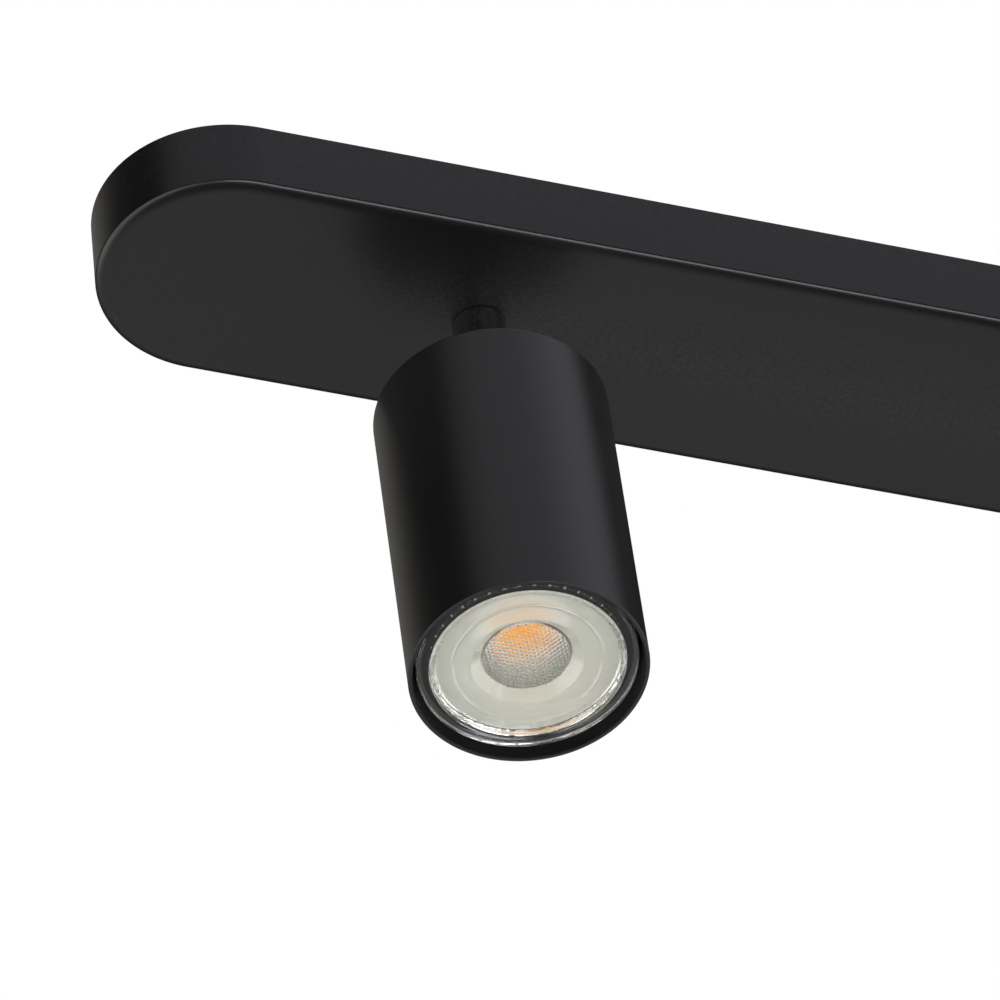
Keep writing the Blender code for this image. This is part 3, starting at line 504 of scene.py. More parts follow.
def make_scratch_group():
    """Fine lines along X, as a height, and cloudy patches, as a tone."""
    group, given, out = new_group(
        "drawn_lines", {"Stretch": 20.0}, {"Height": "NodeSocketFloat", "Tone": "NodeSocketFloat"}
    )
    place = add_node(group, "ShaderNodeTexCoord").outputs["Object"]
    stretch = given.outputs["Stretch"]
    squeeze = add_node(
        group, "ShaderNodeCombineXYZ", sockets={"X": 1.0, "Y": stretch, "Z": stretch}
    )
    lines = vector_maths(group, "MULTIPLY", place, squeeze.outputs["Vector"])
    sockets = {"Vector": place, "Scale": 420.0}
    clouds = add_node(group, "ShaderNodeTexVoronoi", feature="SMOOTH_F1", sockets=sockets)
    group.links.new(noise(group, lines, 300.0, 5.0), out.inputs["Height"])
    group.links.new(clouds.outputs["Distance"], out.inputs["Tone"])
    return group


DRAWN_LINES = make_scratch_group()


def make_plated_metal(name, dark, light, roughness, stretch):
    """Bare or plated metal, with drawn lines, cloudy crystals and brighter rubbed edges."""
    made, tree, shader = new_finish(name, Metallic=1.0)
    lines = use_group(tree, DRAWN_LINES, Stretch=stretch)
    rubbed = use_group(tree, EDGE_WEAR, Amount=0.6)
    plate = blended(tree, lines.outputs["Tone"], dark, light)
    bright = tuple(min(1.0, c * 1.15) for c in light[:3]) + (1,)
    colour = blended(tree, rubbed.outputs["Mask"], plate, bright)
    tree.links.new(colour, shader.inputs["Base Color"])
    sheen = ranged(tree, lines.outputs["Height"], roughness - 0.1, roughness + 0.14, 0.3, 0.7)
    tree.links.new(sheen, shader.inputs["Roughness"])
    embossed(tree, shader, lines.outputs["Height"], 0.006 * MM)
    return made


ZINC = make_plated_metal(
    "zinc_plating", (0.40, 0.41, 0.43, 1), (0.66, 0.66, 0.65, 1), 0.34, 14.0
)


def prism(outline, low, high):
    """An (x, y) outline raised from low to high along Z."""
    bm = bmesh.new()
    floor = [bm.verts.new((x, y, low)) for x, y in outline]
    roof = [bm.verts.new((x, y, high)) for x, y in outline]
    for i, corner in enumerate(floor):
        bm.faces.new((floor[i - 1], corner, roof[i], roof[i - 1]))
    bm.faces.new(floor[::-1])
    bm.faces.new(roof)
    return bm


def make_ceiling_bracket():
    half = BRACKET_HIGH.x
    ear_y = BRACKET_HIGH.y
    bottom = BRACKET_LOW.z
    thick = BRACKET_THICKNESS
    plate = [(-half, -BRACKET_HALF_WIDTH), (half, -BRACKET_HALF_WIDTH)]
    plate += [(half, BRACKET_HALF_WIDTH), (-half, BRACKET_HALF_WIDTH)]
    bm = prism(rounded(plate, 3 * MM, 8), -thick, 0)
    ears = []
    for x in (-COVER_SCREW_X, COVER_SCREW_X):
        outside = rounded(
            [(-ear_y, bottom), (-ear_y, 0), (ear_y, 0), (ear_y, bottom)], 2.2 * MM, 8, False
        )
        step = ear_y - thick
        inside = rounded(
            [(step, bottom), (step, -thick), (-step, -thick), (-step, bottom)], 0.7 * MM, 6, False
        )
        ear = prism(outside + inside, -EAR_WIDTH / 2, EAR_WIDTH / 2)
        swap = Matrix(((0, 0, 1, x), (1, 0, 0, 0), (0, 1, 0, 0), (0, 0, 0, 1)))
        ear.transform(swap)
        ears.append(ear)
    bm = cut_away(bm, ears, "UNION")
    holes = []
    for side in (-1, 1):
        slot = prism(pill_outline(SLOT_RADIUS, SLOT_HALF_LENGTH, 16, 2), -3 * MM, MM)
        slot.transform(Matrix.Translation((side * SLOT_OFFSET, 0, 0)))
        holes.append(slot)
    holes.append(cylinder(CABLE_HOLE_RADIUS, -3 * MM, MM, centre=(CABLE_HOLE_X, 0, 0)))
    for x, side in COVER_SCREW_PLACES:
        centre = (x, side * ear_y, COVER_SCREW_Z)
        holes.append(cylinder(EAR_HOLE_RADIUS, -3 * MM, 3 * MM, "Y", centre, 32))
    bm = soften(cut_away(bm, holes), 0.12 * MM, 50)
    place_piece("mounting_strap", bm, ZINC, "bar", "ceiling_bracket", sharp=45)


make_ceiling_bracket()

# ---------------------------------------------------------------------------------------------
# Earth stud and nut: turned and cut from brass. The flange is pressed on to the tray's floor,
# and the hexagon nut clamps the earth wire.
EARTH_LOW, EARTH_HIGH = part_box("earth_stud")
EARTH_NUT_LOW, EARTH_NUT_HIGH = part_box("earth_nut")
EARTH_STUD_RADIUS = 1.8 * MM
EARTH_FLANGE_RADIUS = 3.5 * MM
EARTH_NUT_ACROSS = 7 * MM
BRASS = make_plated_metal(
    "turned_brass", (0.56, 0.38, 0.14, 1), (0.80, 0.60, 0.28, 1), 0.27, 6.0
)


def hex_nut(across, low, high, bore):
    """A hexagon nut, chamfered at both faces, with its bore countersunk."""
    corner = across / math.sqrt(3)
    drop = 0.35 * (corner - across / 2) + 0.25 * MM
    body = [(0, high), (across / 2 * 0.95, high), (corner + 0.02 * MM, high - drop)]
    body += [(corner + 0.02 * MM, low + drop), (across / 2 * 0.95, low), (0, low)]
    bm = cut_away(cylinder(corner, low, high, steps=6), [turned(body, 96)], "INTERSECT")
    sink = 0.4 * MM
    hole = [(0, high + MM), (bore + sink + MM, high + MM), (bore, high - sink)]
    hole += [(bore, low + sink), (bore + sink + MM, low - MM), (0, low - MM)]
    return soften(cut_away(bm, [turned(hole, 64)]), 0.08 * MM, 50)


def make_earth_fixings():
    x = (EARTH_LOW.x + EARTH_HIGH.x) / 2
    place = Matrix.Translation((x, 0, 0))
    flange_top = EARTH_LOW.z + MM
    stud = [(0, EARTH_HIGH.z), (EARTH_STUD_RADIUS - 0.4 * MM, EARTH_HIGH.z)]
    stud += thread_rows(
        EARTH_STUD_RADIUS, EARTH_HIGH.z - 0.4 * MM, flange_top + 0.1 * MM, 0.6 * MM
    )
    stud += rounded(
        [(EARTH_STUD_RADIUS, flange_top), (EARTH_FLANGE_RADIUS, flange_top)]
        + [(EARTH_FLANGE_RADIUS, EARTH_LOW.z), (0, EARTH_LOW.z)], 0.2 * MM, closed=False,
    )
    bm = turned(stud, 64, 0.6 * MM)
    place_piece("brass_stud", bm, BRASS, "bar", "earth_stud", place)
    bore = EARTH_STUD_RADIUS + 0.1 * MM
    bm = hex_nut(EARTH_NUT_ACROSS, EARTH_NUT_LOW.z, EARTH_NUT_HIGH.z, bore)
    place_piece("brass_nut", bm, BRASS, "bar", "earth_nut", place)


make_earth_fixings()

# ---------------------------------------------------------------------------------------------
# Terminal block: three poles moulded in one piece of white polyamide, with a wire hole right
# through each pole, a clamp hole over each end of it and a groove between neighbours.
BLOCK_LOW, BLOCK_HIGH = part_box("terminal_block")
POLE_RADIUS = 1.9 * MM
CLAMP_RADIUS = 1.5 * MM
GROOVE_WIDTH = 1.6 * MM
POLE_Z = BLOCK_LOW.z + 4 * MM


def make_moulded(name, low, high, roughness, speck_scale, depth):
    """A pale moulded or fired body, slightly cloudy, with fine specks and dust."""
    made, tree, shader = new_finish(name)
    grain = use_group(tree, GRAIN, Scale=speck_scale)
    speck = ranged(tree, grain.outputs["Height"], 0.0, 1.0, 0.30, 0.55)
    body = blended(tree, speck, low, high)
    cloud = ranged(tree, grain.outputs["Tone"], 0.0, 0.25, 0.35, 0.75)
    dusty = tuple(c * 0.86 for c in high[:3]) + (1,)
    tree.links.new(blended(tree, cloud, body, dusty), shader.inputs["Base Color"])
    sheen = ranged(tree, grain.outputs["Tone"], roughness - 0.06, roughness + 0.08)
    tree.links.new(sheen, shader.inputs["Roughness"])
    embossed(tree, shader, grain.outputs["Height"], depth)
    return made


POLYAMIDE = make_moulded(
    "white_polyamide", (0.70, 0.70, 0.66, 1), (0.83, 0.83, 0.80, 1), 0.42, 1800.0, 0.008 * MM
)


def make_terminal_block():
    middle = (BLOCK_LOW + BLOCK_HIGH) / 2
    half = (BLOCK_HIGH - BLOCK_LOW) / 2
    pitch = 2 * half.y / 3
    poles = [-pitch, 0, pitch]
    outline = [(-half.x, -half.y), (half.x, -half.y), (half.x, half.y), (-half.x, half.y)]
    bm = prism(rounded(outline, 1.2 * MM, 6), BLOCK_LOW.z, BLOCK_HIGH.z)
    cutters = []
    for y in poles:
        cutters.append(
            cylinder(POLE_RADIUS, -half.x - MM, half.x + MM, "X", (0, y, POLE_Z), 40)
        )
        for x in (-half.x / 2, half.x / 2):
            cutters.append(cylinder(CLAMP_RADIUS, POLE_Z, BLOCK_HIGH.z + MM, "Z", (x, y, 0), 40))
    for y in (-pitch / 2, pitch / 2):
        low = (-half.x - MM, y - GROOVE_WIDTH / 2, POLE_Z + POLE_RADIUS + MM)
        high = (half.x + MM, y + GROOVE_WIDTH / 2, BLOCK_HIGH.z + MM)
        cutters.append(box_mesh(low, high))
    bm = soften(cut_away(bm, cutters), 0.18 * MM, 50)
    place = Matrix.Translation((middle.x, 0, 0))
    place_piece(
        "pole_block", bm, POLYAMIDE, "bar", "terminal_block", place, 45
    )


make_terminal_block()

# ---------------------------------------------------------------------------------------------
# Canopy leads: heat-proof wires in a braided glass-fibre sleeve. Each runs from its pole of the
# block along the tray, and down through a stem to the knuckle.
LEAD_RADIUS = 1.6 * MM
LEAD_BEND = 6.3 * MM
LEAD_RUN_Z = -3.7 * MM
LEAD_END_Z = -29.85 * MM
LEAD_START = 8.3 * MM
LEAD_RISE = 12 * MM
LEAD_TURN = 14 * MM
BLOCK_X = (BLOCK_LOW.x + BLOCK_HIGH.x) / 2
POLE_PITCH = (BLOCK_HIGH.y - BLOCK_LOW.y) / 3
BRAID_STRANDS = 8
BRAID_PITCH = 5.2 * MM


def make_sleeve():
    """Off-white glass fibre, with painted shade making it dark brown in the hollows between the
    strands.
    """
    made, tree, shader = new_finish("glass_fibre_sleeve", Roughness=0.72, Sheen_Weight=0.25)
    hollow = add_node(tree, "ShaderNodeAttribute", attribute_name="braid_shade").outputs["Fac"]
    grain = use_group(tree, GRAIN, Scale=5000.0)
    # Painted shade: the low hollows between strands are coloured dark brown, and only the raised
    # strands keep the off-white.
    strand = blended(tree, hollow, (0.34, 0.31, 0.26, 1), (0.80, 0.77, 0.70, 1))
    stain = ranged(tree, grain.outputs["Tone"], 0.0, 0.5)
    colour = blended(tree, stain, strand, (0.62, 0.57, 0.48, 1))
    tree.links.new(colour, shader.inputs["Base Color"])
    embossed(tree, shader, grain.outputs["Height"], 0.02 * MM)
    return made


SLEEVE = make_sleeve()


def smooth_route(route, bend, step):
    """Points every step along a route whose corners are rounded to one bend."""
    points = [Vector(route[0])]
    for before, corner, after in zip(route, route[1:], route[2:]):
        here = Vector(corner)
        back, on = Vector(before) - here, Vector(after) - here
        turn = math.pi - back.angle(on)
        reach = min(bend * math.tan(turn / 2), back.length / 2, on.length / 2)
        start, end = here + back.normalized() * reach, here + on.normalized() * reach
        for i in range(17):
            share = i / 16
            points.append(start.lerp(here, share).lerp(here.lerp(end, share), share))
    points.append(Vector(route[-1]))
    made = [points[0]]
    for point in points[1:]:
        gap = (point - made[-1]).length
        for _ in range(int(gap / step)):
            made.append(made[-1] + (point - made[-1]).normalized() * step)
    made.append(points[-1])
    return made


def braided_lead(route, bend, steps=20):
    """A round sleeve swept along the route, with its crossing strands raised."""
    points = smooth_route(route, bend, 0.45 * MM)
    bm = bmesh.new()
    # Each corner keeps how high its strand stands; the sleeve's finish paints shade into the low
    # hollows from it.
    braid_shade = bm.verts.layers.float.new("braid_shade")
    side = Vector((0, 1, 0)) if abs((points[1] - points[0]).y) < 1e-6 else Vector((1, 0, 0))
    rings = []
    length = 0.0
    for i, point in enumerate(points):
        ahead = (points[min(i + 1, len(points) - 1)] - points[max(i - 1, 0)]).normalized()
        side = (side - ahead * side.dot(ahead)).normalized()
        other = ahead.cross(side)
        length += (point - points[i - 1]).length if i else 0.0
        ring = []
        for j in range(steps):
            angle = 2 * math.pi * j / steps
            lay = 2 * math.pi * length / BRAID_PITCH
            right = 0.5 + 0.5 * math.cos(BRAID_STRANDS / 2 * (angle + lay))
            left = 0.5 + 0.5 * math.cos(BRAID_STRANDS / 2 * (angle - lay))
            strand = max(right, left)
            reach = LEAD_RADIUS * (0.93 + 0.07 * strand)
            outward = side * math.cos(angle) + other * math.sin(angle)
            corner = bm.verts.new(point + outward * reach)
            corner[braid_shade] = strand
            ring.append(corner)
        rings.append(ring)
    for low, high in zip(rings, rings[1:]):
        for j in range(steps):
            k = (j + 1) % steps
            bm.faces.new((low[j], low[k], high[k], high[j]))
    bm.faces.new(rings[0][::-1])
    bm.faces.new(rings[-1])
    return bm


def make_canopy_leads():
    for number in HEAD_NUMBERS:
        x = HEAD_X[number]
        side = 1 if x > BLOCK_X else -1
        pole_y = POLE_PITCH * (number - 2)
        block_end = BLOCK_X + side * LEAD_START
        rise_x = block_end + side * LEAD_RISE
        turn_x = x - side * LEAD_TURN
        route = [
            (block_end, pole_y, POLE_Z),
            (rise_x, pole_y, POLE_Z),
            (rise_x + side * LEAD_RISE, pole_y, LEAD_RUN_Z),
            (turn_x - side * LEAD_TURN, pole_y, LEAD_RUN_Z),
            (turn_x, 0, LEAD_RUN_Z),
            (x, 0, LEAD_RUN_Z),
            (x, 0, LEAD_END_Z),
        ]
        node = f"canopy_lead_{number}"
        bm = braided_lead(route, LEAD_BEND)
        place_piece(f"sleeved_lead_{number}", bm, SLEEVE, "bar", node, sharp=80)


make_canopy_leads()

# ---------------------------------------------------------------------------------------------
# Washers and nuts on the stems: zinc-plated steel, on the M10 thread inside the canopy. They
# hold each stem and set how stiffly it turns.
THREAD_RADIUS = 4.8 * MM
THREAD_PITCH = 1.0 * MM
NUT_ACROSS = 14 * MM


def washer(radius, bore, low, high):
    outline = [(bore, high), (radius, high), (radius, low), (bore, low)]
    return turned(rounded(outline, 0.25 * MM, 4), 96)


def make_stem_fixings():
    for n in HEAD_NUMBERS:
        place = Matrix.Translation((HEAD_X[n], 0, 0))
        low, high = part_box(f"stem_washer_{n}")
        bm = washer((high.x - low.x) / 2, THREAD_RADIUS + SEAT_GAP, low.z, high.z)
        node = f"stem_washer_{n}"
        place_piece(f"flat_washer_{n}", bm, ZINC, f"swivel_{n}", node, place)
        low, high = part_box(f"stem_nut_{n}")
        bm = hex_nut(NUT_ACROSS, low.z, high.z, THREAD_RADIUS + 0.15 * MM)
        node = f"stem_nut_{n}"
        place_piece(f"lock_nut_{n}", bm, ZINC, f"swivel_{n}", node, place)


make_stem_fixings()

# ---------------------------------------------------------------------------------------------
# Stems, knuckles and pivot screws: each joint is two half-lapped bars turned from steel and
# powder coated, bored for the lead, and clamped by a dark socket screw with a low head.
STEM_RADIUS = 6.25 * MM
PIVOT_DROP = 16.5 * MM
PIVOT_TO_HEAD = 15.5 * MM
THREAD_LENGTH = 10 * MM
LAP_CLEARANCE = 0.4 * MM
LAP_SHOULDER = 6.65 * MM
LEAD_HOLE_RADIUS = 2.5 * MM
LAP_HOLLOW_RADIUS = 4.6 * MM
LAP_HOLLOW_DEPTH = 3.1 * MM
PIVOT_RADIUS = 1.7 * MM
PIVOT_HEAD_RADIUS = 3.4 * MM
PIVOT_HEAD_HEIGHT = 1.5 * MM
PIVOT_SEAT = 4.15 * MM
PIVOT_PITCH = 0.7 * MM
PIVOT_SOCKET_RADIUS = 1.3 * MM
PIVOT_SOCKET_DEPTH = 0.9 * MM
KNUCKLE_COAT = make_powder_coat("knuckle_powder_coat", 2600.0, 0.008 * MM, 0.34, 1.0)
DARK_STEEL = make_plated_metal(
    "blackened_steel", (0.05, 0.05, 0.055, 1), (0.15, 0.15, 0.16, 1), 0.34, 5.0
)


def pivot_matrix(n, lean):
    """The tilt joint's place, with +Z up along the stem, or along the head if it leans."""
    place = Matrix.Translation(JOINTS[f"head_{n}_tilt"]["pos_m"])
    return place @ Matrix.Rotation(lean, 4, "X")


def head_lean(n):
    """How far the head hangs from plumb at rest, from its lamp's axis."""
    axis = JOINTS[f"lamp_{n}_twist"]["axis"]
    return math.atan2(axis[1], -axis[2])


def lapped_half(up, body_end):
    """Half of the joint as seen from the pivot, up for the upper half and -1 for the lower."""
    low, high = sorted((-up * STEM_RADIUS, up * body_end))
    wide = STEM_RADIUS + MM
    bm = cylinder(STEM_RADIUS, low, high, steps=96)
    nose = cylinder(STEM_RADIUS, -wide, wide, "X", steps=96)
    rest = sorted((0, up * (body_end + MM)))
    nose = cut_away(nose, [box_mesh((-wide, -wide, rest[0]), (wide, wide, rest[1]))], "UNION")
    bm = cut_away(bm, [nose], "INTERSECT")
    notch_x = sorted((up * LAP_CLEARANCE / 2, -up * wide))
    notch_z = sorted((-up * wide, up * LAP_SHOULDER))
    cutters = [box_mesh((notch_x[0], -wide, notch_z[0]), (notch_x[1], wide, notch_z[1]))]
    bore = sorted((0, up * (body_end + MM)))
    cutters.append(cylinder(LEAD_HOLE_RADIUS, bore[0], bore[1], steps=40))
    hollow = sorted((-up * MM, up * (LAP_CLEARANCE / 2 + LAP_HOLLOW_DEPTH)))
    cutters.append(cylinder(LAP_HOLLOW_RADIUS, hollow[0], hollow[1], "X", steps=64))
    cutters.append(cylinder(PIVOT_RADIUS + SEAT_GAP, -wide, wide, "X", steps=40))
    if up > 0:
        cutters.append(
            cylinder(PIVOT_HEAD_RADIUS + SEAT_GAP, PIVOT_SEAT, wide, "X", steps=64)
        )
    return soften(cut_away(bm, cutters), 0.16 * MM, 50)


def hollow_thread(start, end, up):
    """The threaded tube beyond the joint's body, with a chamfered end."""
    outer = thread_rows(THREAD_RADIUS, start, end - up * 0.6 * MM, THREAD_PITCH)
    tip = [(THREAD_RADIUS - 0.6 * MM, end), (LEAD_HOLE_RADIUS + 0.3 * MM, end)]
    bore = [(LEAD_HOLE_RADIUS, end - up * 0.3 * MM), (LEAD_HOLE_RADIUS, start)]
    return turned(outer + tip + bore, 72, THREAD_PITCH)


def joined(first, second):
    """Both meshes in one, as two closed shapes."""
    data = bpy.data.meshes.new("scratch")
    for part in (first, second):
        if part.calc_volume(signed=True) < 0:
            bmesh.ops.reverse_faces(part, faces=part.faces)
    second.to_mesh(data)
    second.free()
    first.from_mesh(data)
    bpy.data.meshes.remove(data)
    return first


def make_knuckles():
    for n in HEAD_NUMBERS:
        swivel, head = f"swivel_{n}", f"head_{n}"
        reach = PIVOT_DROP - SEAT_GAP
        upper = joined(
            lapped_half(1, reach), hollow_thread(reach, PIVOT_DROP + THREAD_LENGTH, 1)
        )
        matrix = pivot_matrix(n, 0)
        place_piece(
            f"swivel_stem_{n}", upper, KNUCKLE_COAT, swivel, f"stem_{n}", matrix
        )
        reach = PIVOT_TO_HEAD - SEAT_GAP
        lower = joined(
            lapped_half(-1, reach), hollow_thread(-reach, -PIVOT_TO_HEAD - THREAD_LENGTH, -1)
        )
        matrix = pivot_matrix(n, head_lean(n))
        place_piece(
            f"tilt_knuckle_{n}", lower, KNUCKLE_COAT, head, f"knuckle_{n}", matrix
        )
        low = PIVOT_SEAT + SEAT_GAP
        top = low + PIVOT_HEAD_HEIGHT
        tip = -STEM_RADIUS + MM
        cap = rounded(
            [(0, top), (PIVOT_HEAD_RADIUS, top), (PIVOT_HEAD_RADIUS, low), (PIVOT_RADIUS, low)],
            0.5 * MM, 5, closed=False,
        )
        shank = thread_rows(PIVOT_RADIUS, low - 0.3 * MM, tip + 0.3 * MM, PIVOT_PITCH)
        screw = turned(cap + shank + [(PIVOT_RADIUS - 0.3 * MM, tip), (0, tip)], 64, PIVOT_PITCH)
        socket = cylinder(PIVOT_SOCKET_RADIUS, top - PIVOT_SOCKET_DEPTH, top + MM, steps=6)
        screw = cut_away(screw, [socket])
        matrix = matrix @ Matrix.Rotation(math.pi / 2, 4, "Y")
        place_piece(
            f"socket_screw_{n}", screw, DARK_STEEL, head, f"pivot_screw_{n}", matrix
        )


make_knuckles()

# ---------------------------------------------------------------------------------------------
# Head shells: aluminium tubes with a closed top, spun in one piece and powder coated satin
# black inside and out. The inside has painted shade: a copy of the coat with far less gloss.
# The knuckle's thread comes through the hole in the top.
HEAD_LENGTH = 88 * MM
HEAD_RADIUS = 27.5 * MM
HEAD_WALL = 1.1 * MM
HEAD_TOP = 1.6 * MM
HEAD_EDGE = 0.8 * MM
HEAD_LIP = 0.25 * MM
HEAD_COAT = make_powder_coat("head_powder_coat", 2600.0, 0.007 * MM, 0.33, 0.5)
# Painted shade: the same black coat with far less gloss and more roughness, so the inside of the
# shell and its rim's inner half read darker.
SHADED_INSIDE_COAT = make_powder_coat("head_inside_shaded_coat", 2600.0, 0.007 * MM, 0.5, 0.3, 0.12)


def head_matrix(n):
    """The middle of the head's top outer face, with +Z up along the head."""
    return pivot_matrix(n, head_lean(n)) @ Matrix.Translation((0, 0, -PIVOT_TO_HEAD))


def make_head_shells():
    inside = HEAD_RADIUS - HEAD_WALL
    top_edge = [
        (HEAD_RADIUS - HEAD_EDGE + x, z - HEAD_EDGE) for x, z in arc(HEAD_EDGE, 90, 0, 12)
    ]
    side_steps = [
        (HEAD_RADIUS, -HEAD_EDGE - (HEAD_LENGTH - HEAD_EDGE - HEAD_LIP) * i / 24)
        for i in range(1, 25)
    ]
    lip_z = HEAD_LIP - HEAD_LENGTH
    rim = [(HEAD_RADIUS - HEAD_LIP + x, lip_z + z) for x, z in arc(HEAD_LIP, 0, -90, 4)]
    rim += [(inside + HEAD_LIP + x, lip_z + z) for x, z in arc(HEAD_LIP, -90, -180, 4)]
    bend = 1.0 * MM
    inner = [
        (inside - bend + x, z - HEAD_TOP - bend) for x, z in arc(bend, 0, 90, 6)
    ]
    hole = rounded(
        [(STEM_HOLE_RADIUS + MM, -HEAD_TOP), (STEM_HOLE_RADIUS, -HEAD_TOP), (STEM_HOLE_RADIUS, 0)]
        + [(STEM_HOLE_RADIUS + MM, 0)], 0.2 * MM, 3, closed=False,
    )
    profile = top_edge + side_steps[:-1] + rim + inner + hole
    for n in HEAD_NUMBERS:
        bm = turned(profile, 192)
        # Faces on the inner wall and the rim's inner half take the duller coat, as painted shade.
        for face in bm.faces:
            middle = face.calc_center_median()
            inwards = math.hypot(middle.x, middle.y) < inside + HEAD_LIP
            face.material_index = int(inwards and middle.z < -HEAD_TOP)
        place_piece(
            f"spot_shell_{n}", bm, [HEAD_COAT, SHADED_INSIDE_COAT], f"head_{n}",
            f"head_shell_{n}", head_matrix(n),
        )


make_head_shells()

# ---------------------------------------------------------------------------------------------
# Lampholder hangers: a nut clamps the shell and a bent zinc-plated strap to the knuckle's
# thread, and two slotted screws hold the lampholder under the strap's turned-in ears.
SHELL_NUT_HEIGHT = 4 * MM
HOLDER_LENGTH = 27 * MM
HOLDER_WIDTH = 17 * MM
HOLDER_HEIGHT = 15 * MM
HOLDER_TOP_DROP = 21.3 * MM
HOLDER_FACE = 2.5 * MM
HOLDER_SCREW_X = 10 * MM
HOLDER_SCREW_RADIUS = 1.3 * MM
HOLDER_SCREW_PITCH = 0.5 * MM
HOLDER_SCREW_HEAD = 2.6 * MM
HOLDER_SCREW_HEAD_HEIGHT = 1.8 * MM
STRAP_WIDTH = 15 * MM
STRAP_THICKNESS = 1.2 * MM
STRAP_EAR = 8.5 * MM


def make_holder_hangers():
    top = -(HEAD_TOP + SEAT_GAP)
    ear_low = -(HOLDER_TOP_DROP - SEAT_GAP)
    ear_high = ear_low + STRAP_THICKNESS
    outer = HOLDER_LENGTH / 2 + STRAP_THICKNESS
    inner = HOLDER_LENGTH / 2
    tip = outer - STRAP_EAR
    outside = rounded(
        [(tip, ear_low), (outer, ear_low), (outer, top), (-outer, top), (-outer, ear_low)]
        + [(-tip, ear_low)], 1.9 * MM, 8, False,
    )
    step = top - STRAP_THICKNESS
    inside = rounded(
        [(-tip, ear_high), (-inner, ear_high), (-inner, step), (inner, step), (inner, ear_high)]
        + [(tip, ear_high)], 0.7 * MM, 6, False,
    )
    low_z = -HOLDER_TOP_DROP - HOLDER_HEIGHT
    for n in HEAD_NUMBERS:
        head, matrix = f"head_{n}", head_matrix(n)
        nut_low = step - SEAT_GAP - SHELL_NUT_HEIGHT
        bm = hex_nut(NUT_ACROSS, nut_low, nut_low + SHELL_NUT_HEIGHT, THREAD_RADIUS + 0.15 * MM)
        node = f"knuckle_nut_{n}"
        place_piece(f"shell_nut_{n}", bm, ZINC, head, node, matrix)
        bm = prism(outside + inside, -STRAP_WIDTH / 2, STRAP_WIDTH / 2)
        bm.transform(Matrix.Rotation(math.pi / 2, 4, "X"))
        holes = [cylinder(THREAD_RADIUS + SEAT_GAP, step - MM, top + MM)]
        for side in (-1, 1):
            holes.append(
                cylinder(
                    HOLDER_SCREW_RADIUS + SEAT_GAP, ear_low - MM, ear_high + MM,
                    centre=(side * HOLDER_SCREW_X, 0, 0),
                )
            )
        bm = soften(cut_away(bm, holes), 0.1 * MM, 50)
        node = f"holder_strap_{n}"
        place_piece(f"bent_strap_{n}", bm, ZINC, head, node, matrix, 45)
        for end, side in (("a", -1), ("b", 1)):
            head_low = low_z + SEAT_GAP
            head_high = head_low + HOLDER_SCREW_HEAD_HEIGHT
            tip_z = ear_high + MM
            screw = [(0, tip_z), (HOLDER_SCREW_RADIUS - 0.3 * MM, tip_z)]
            screw += thread_rows(
                HOLDER_SCREW_RADIUS, tip_z - 0.3 * MM, head_high + 2 * MM, HOLDER_SCREW_PITCH
            )
            screw += rounded(
                [(HOLDER_SCREW_RADIUS, head_high + 1.9 * MM), (HOLDER_SCREW_RADIUS, head_high)]
                + [(HOLDER_SCREW_HEAD, head_high), (HOLDER_SCREW_HEAD, head_low), (0, head_low)],
                0.3 * MM, 4, closed=False,
            )
            slot_x, slot_y, slot_z = 4 * MM, 0.35 * MM, head_low + 0.8 * MM
            slot = box_mesh((-slot_x, -slot_y, head_low - MM), (slot_x, slot_y, slot_z))
            bm = cut_away(turned(screw, 48, HOLDER_SCREW_PITCH), [slot])
            place = matrix @ Matrix.Translation((side * HOLDER_SCREW_X, 0, 0))
            node = f"holder_screw_{n}{end}"
            place_piece(f"slotted_screw_{n}{end}", bm, ZINC, head, node, place)


make_holder_hangers()

# ---------------------------------------------------------------------------------------------
# Lampholders: pressed and fired steatite blocks. Two curved slots in the lower face take the
# lamp's pins, which drop in at the wide ends and lock after a 25 degree turn.
PIN_CIRCLE = 5 * MM
PIN_RADIUS = 1.5 * MM
PIN_FOOT_RADIUS = 2.4 * MM
PIN_FOOT_HEIGHT = 1.4 * MM
PIN_LENGTH = 7 * MM
PIN_CLEARANCE = 0.4 * MM
LOCK_TURN = 25
STEATITE = make_moulded(
    "fired_steatite", (0.62, 0.60, 0.55, 1), (0.82, 0.81, 0.77, 1), 0.46, 1500.0, 0.02 * MM
)


def kidney(radius, half_width, start, end, steps=10):
    """A slot bent round the origin, with round ends and angles in degrees."""
    far = arc(radius + half_width, start, end, steps)
    near = arc(radius - half_width, end, start, steps)
    tips = [arc(radius, angle, angle, 1)[0] for angle in (end, start)]
    end_cap = [(tips[0][0] + x, tips[0][1] + y) for x, y in arc(half_width, end, end + 180, 12)]
    start_cap = [
        (tips[1][0] + x, tips[1][1] + y) for x, y in arc(half_width, start + 180, start + 360, 12)
    ]
    return far + end_cap[1:-1] + near + start_cap[1:-1]


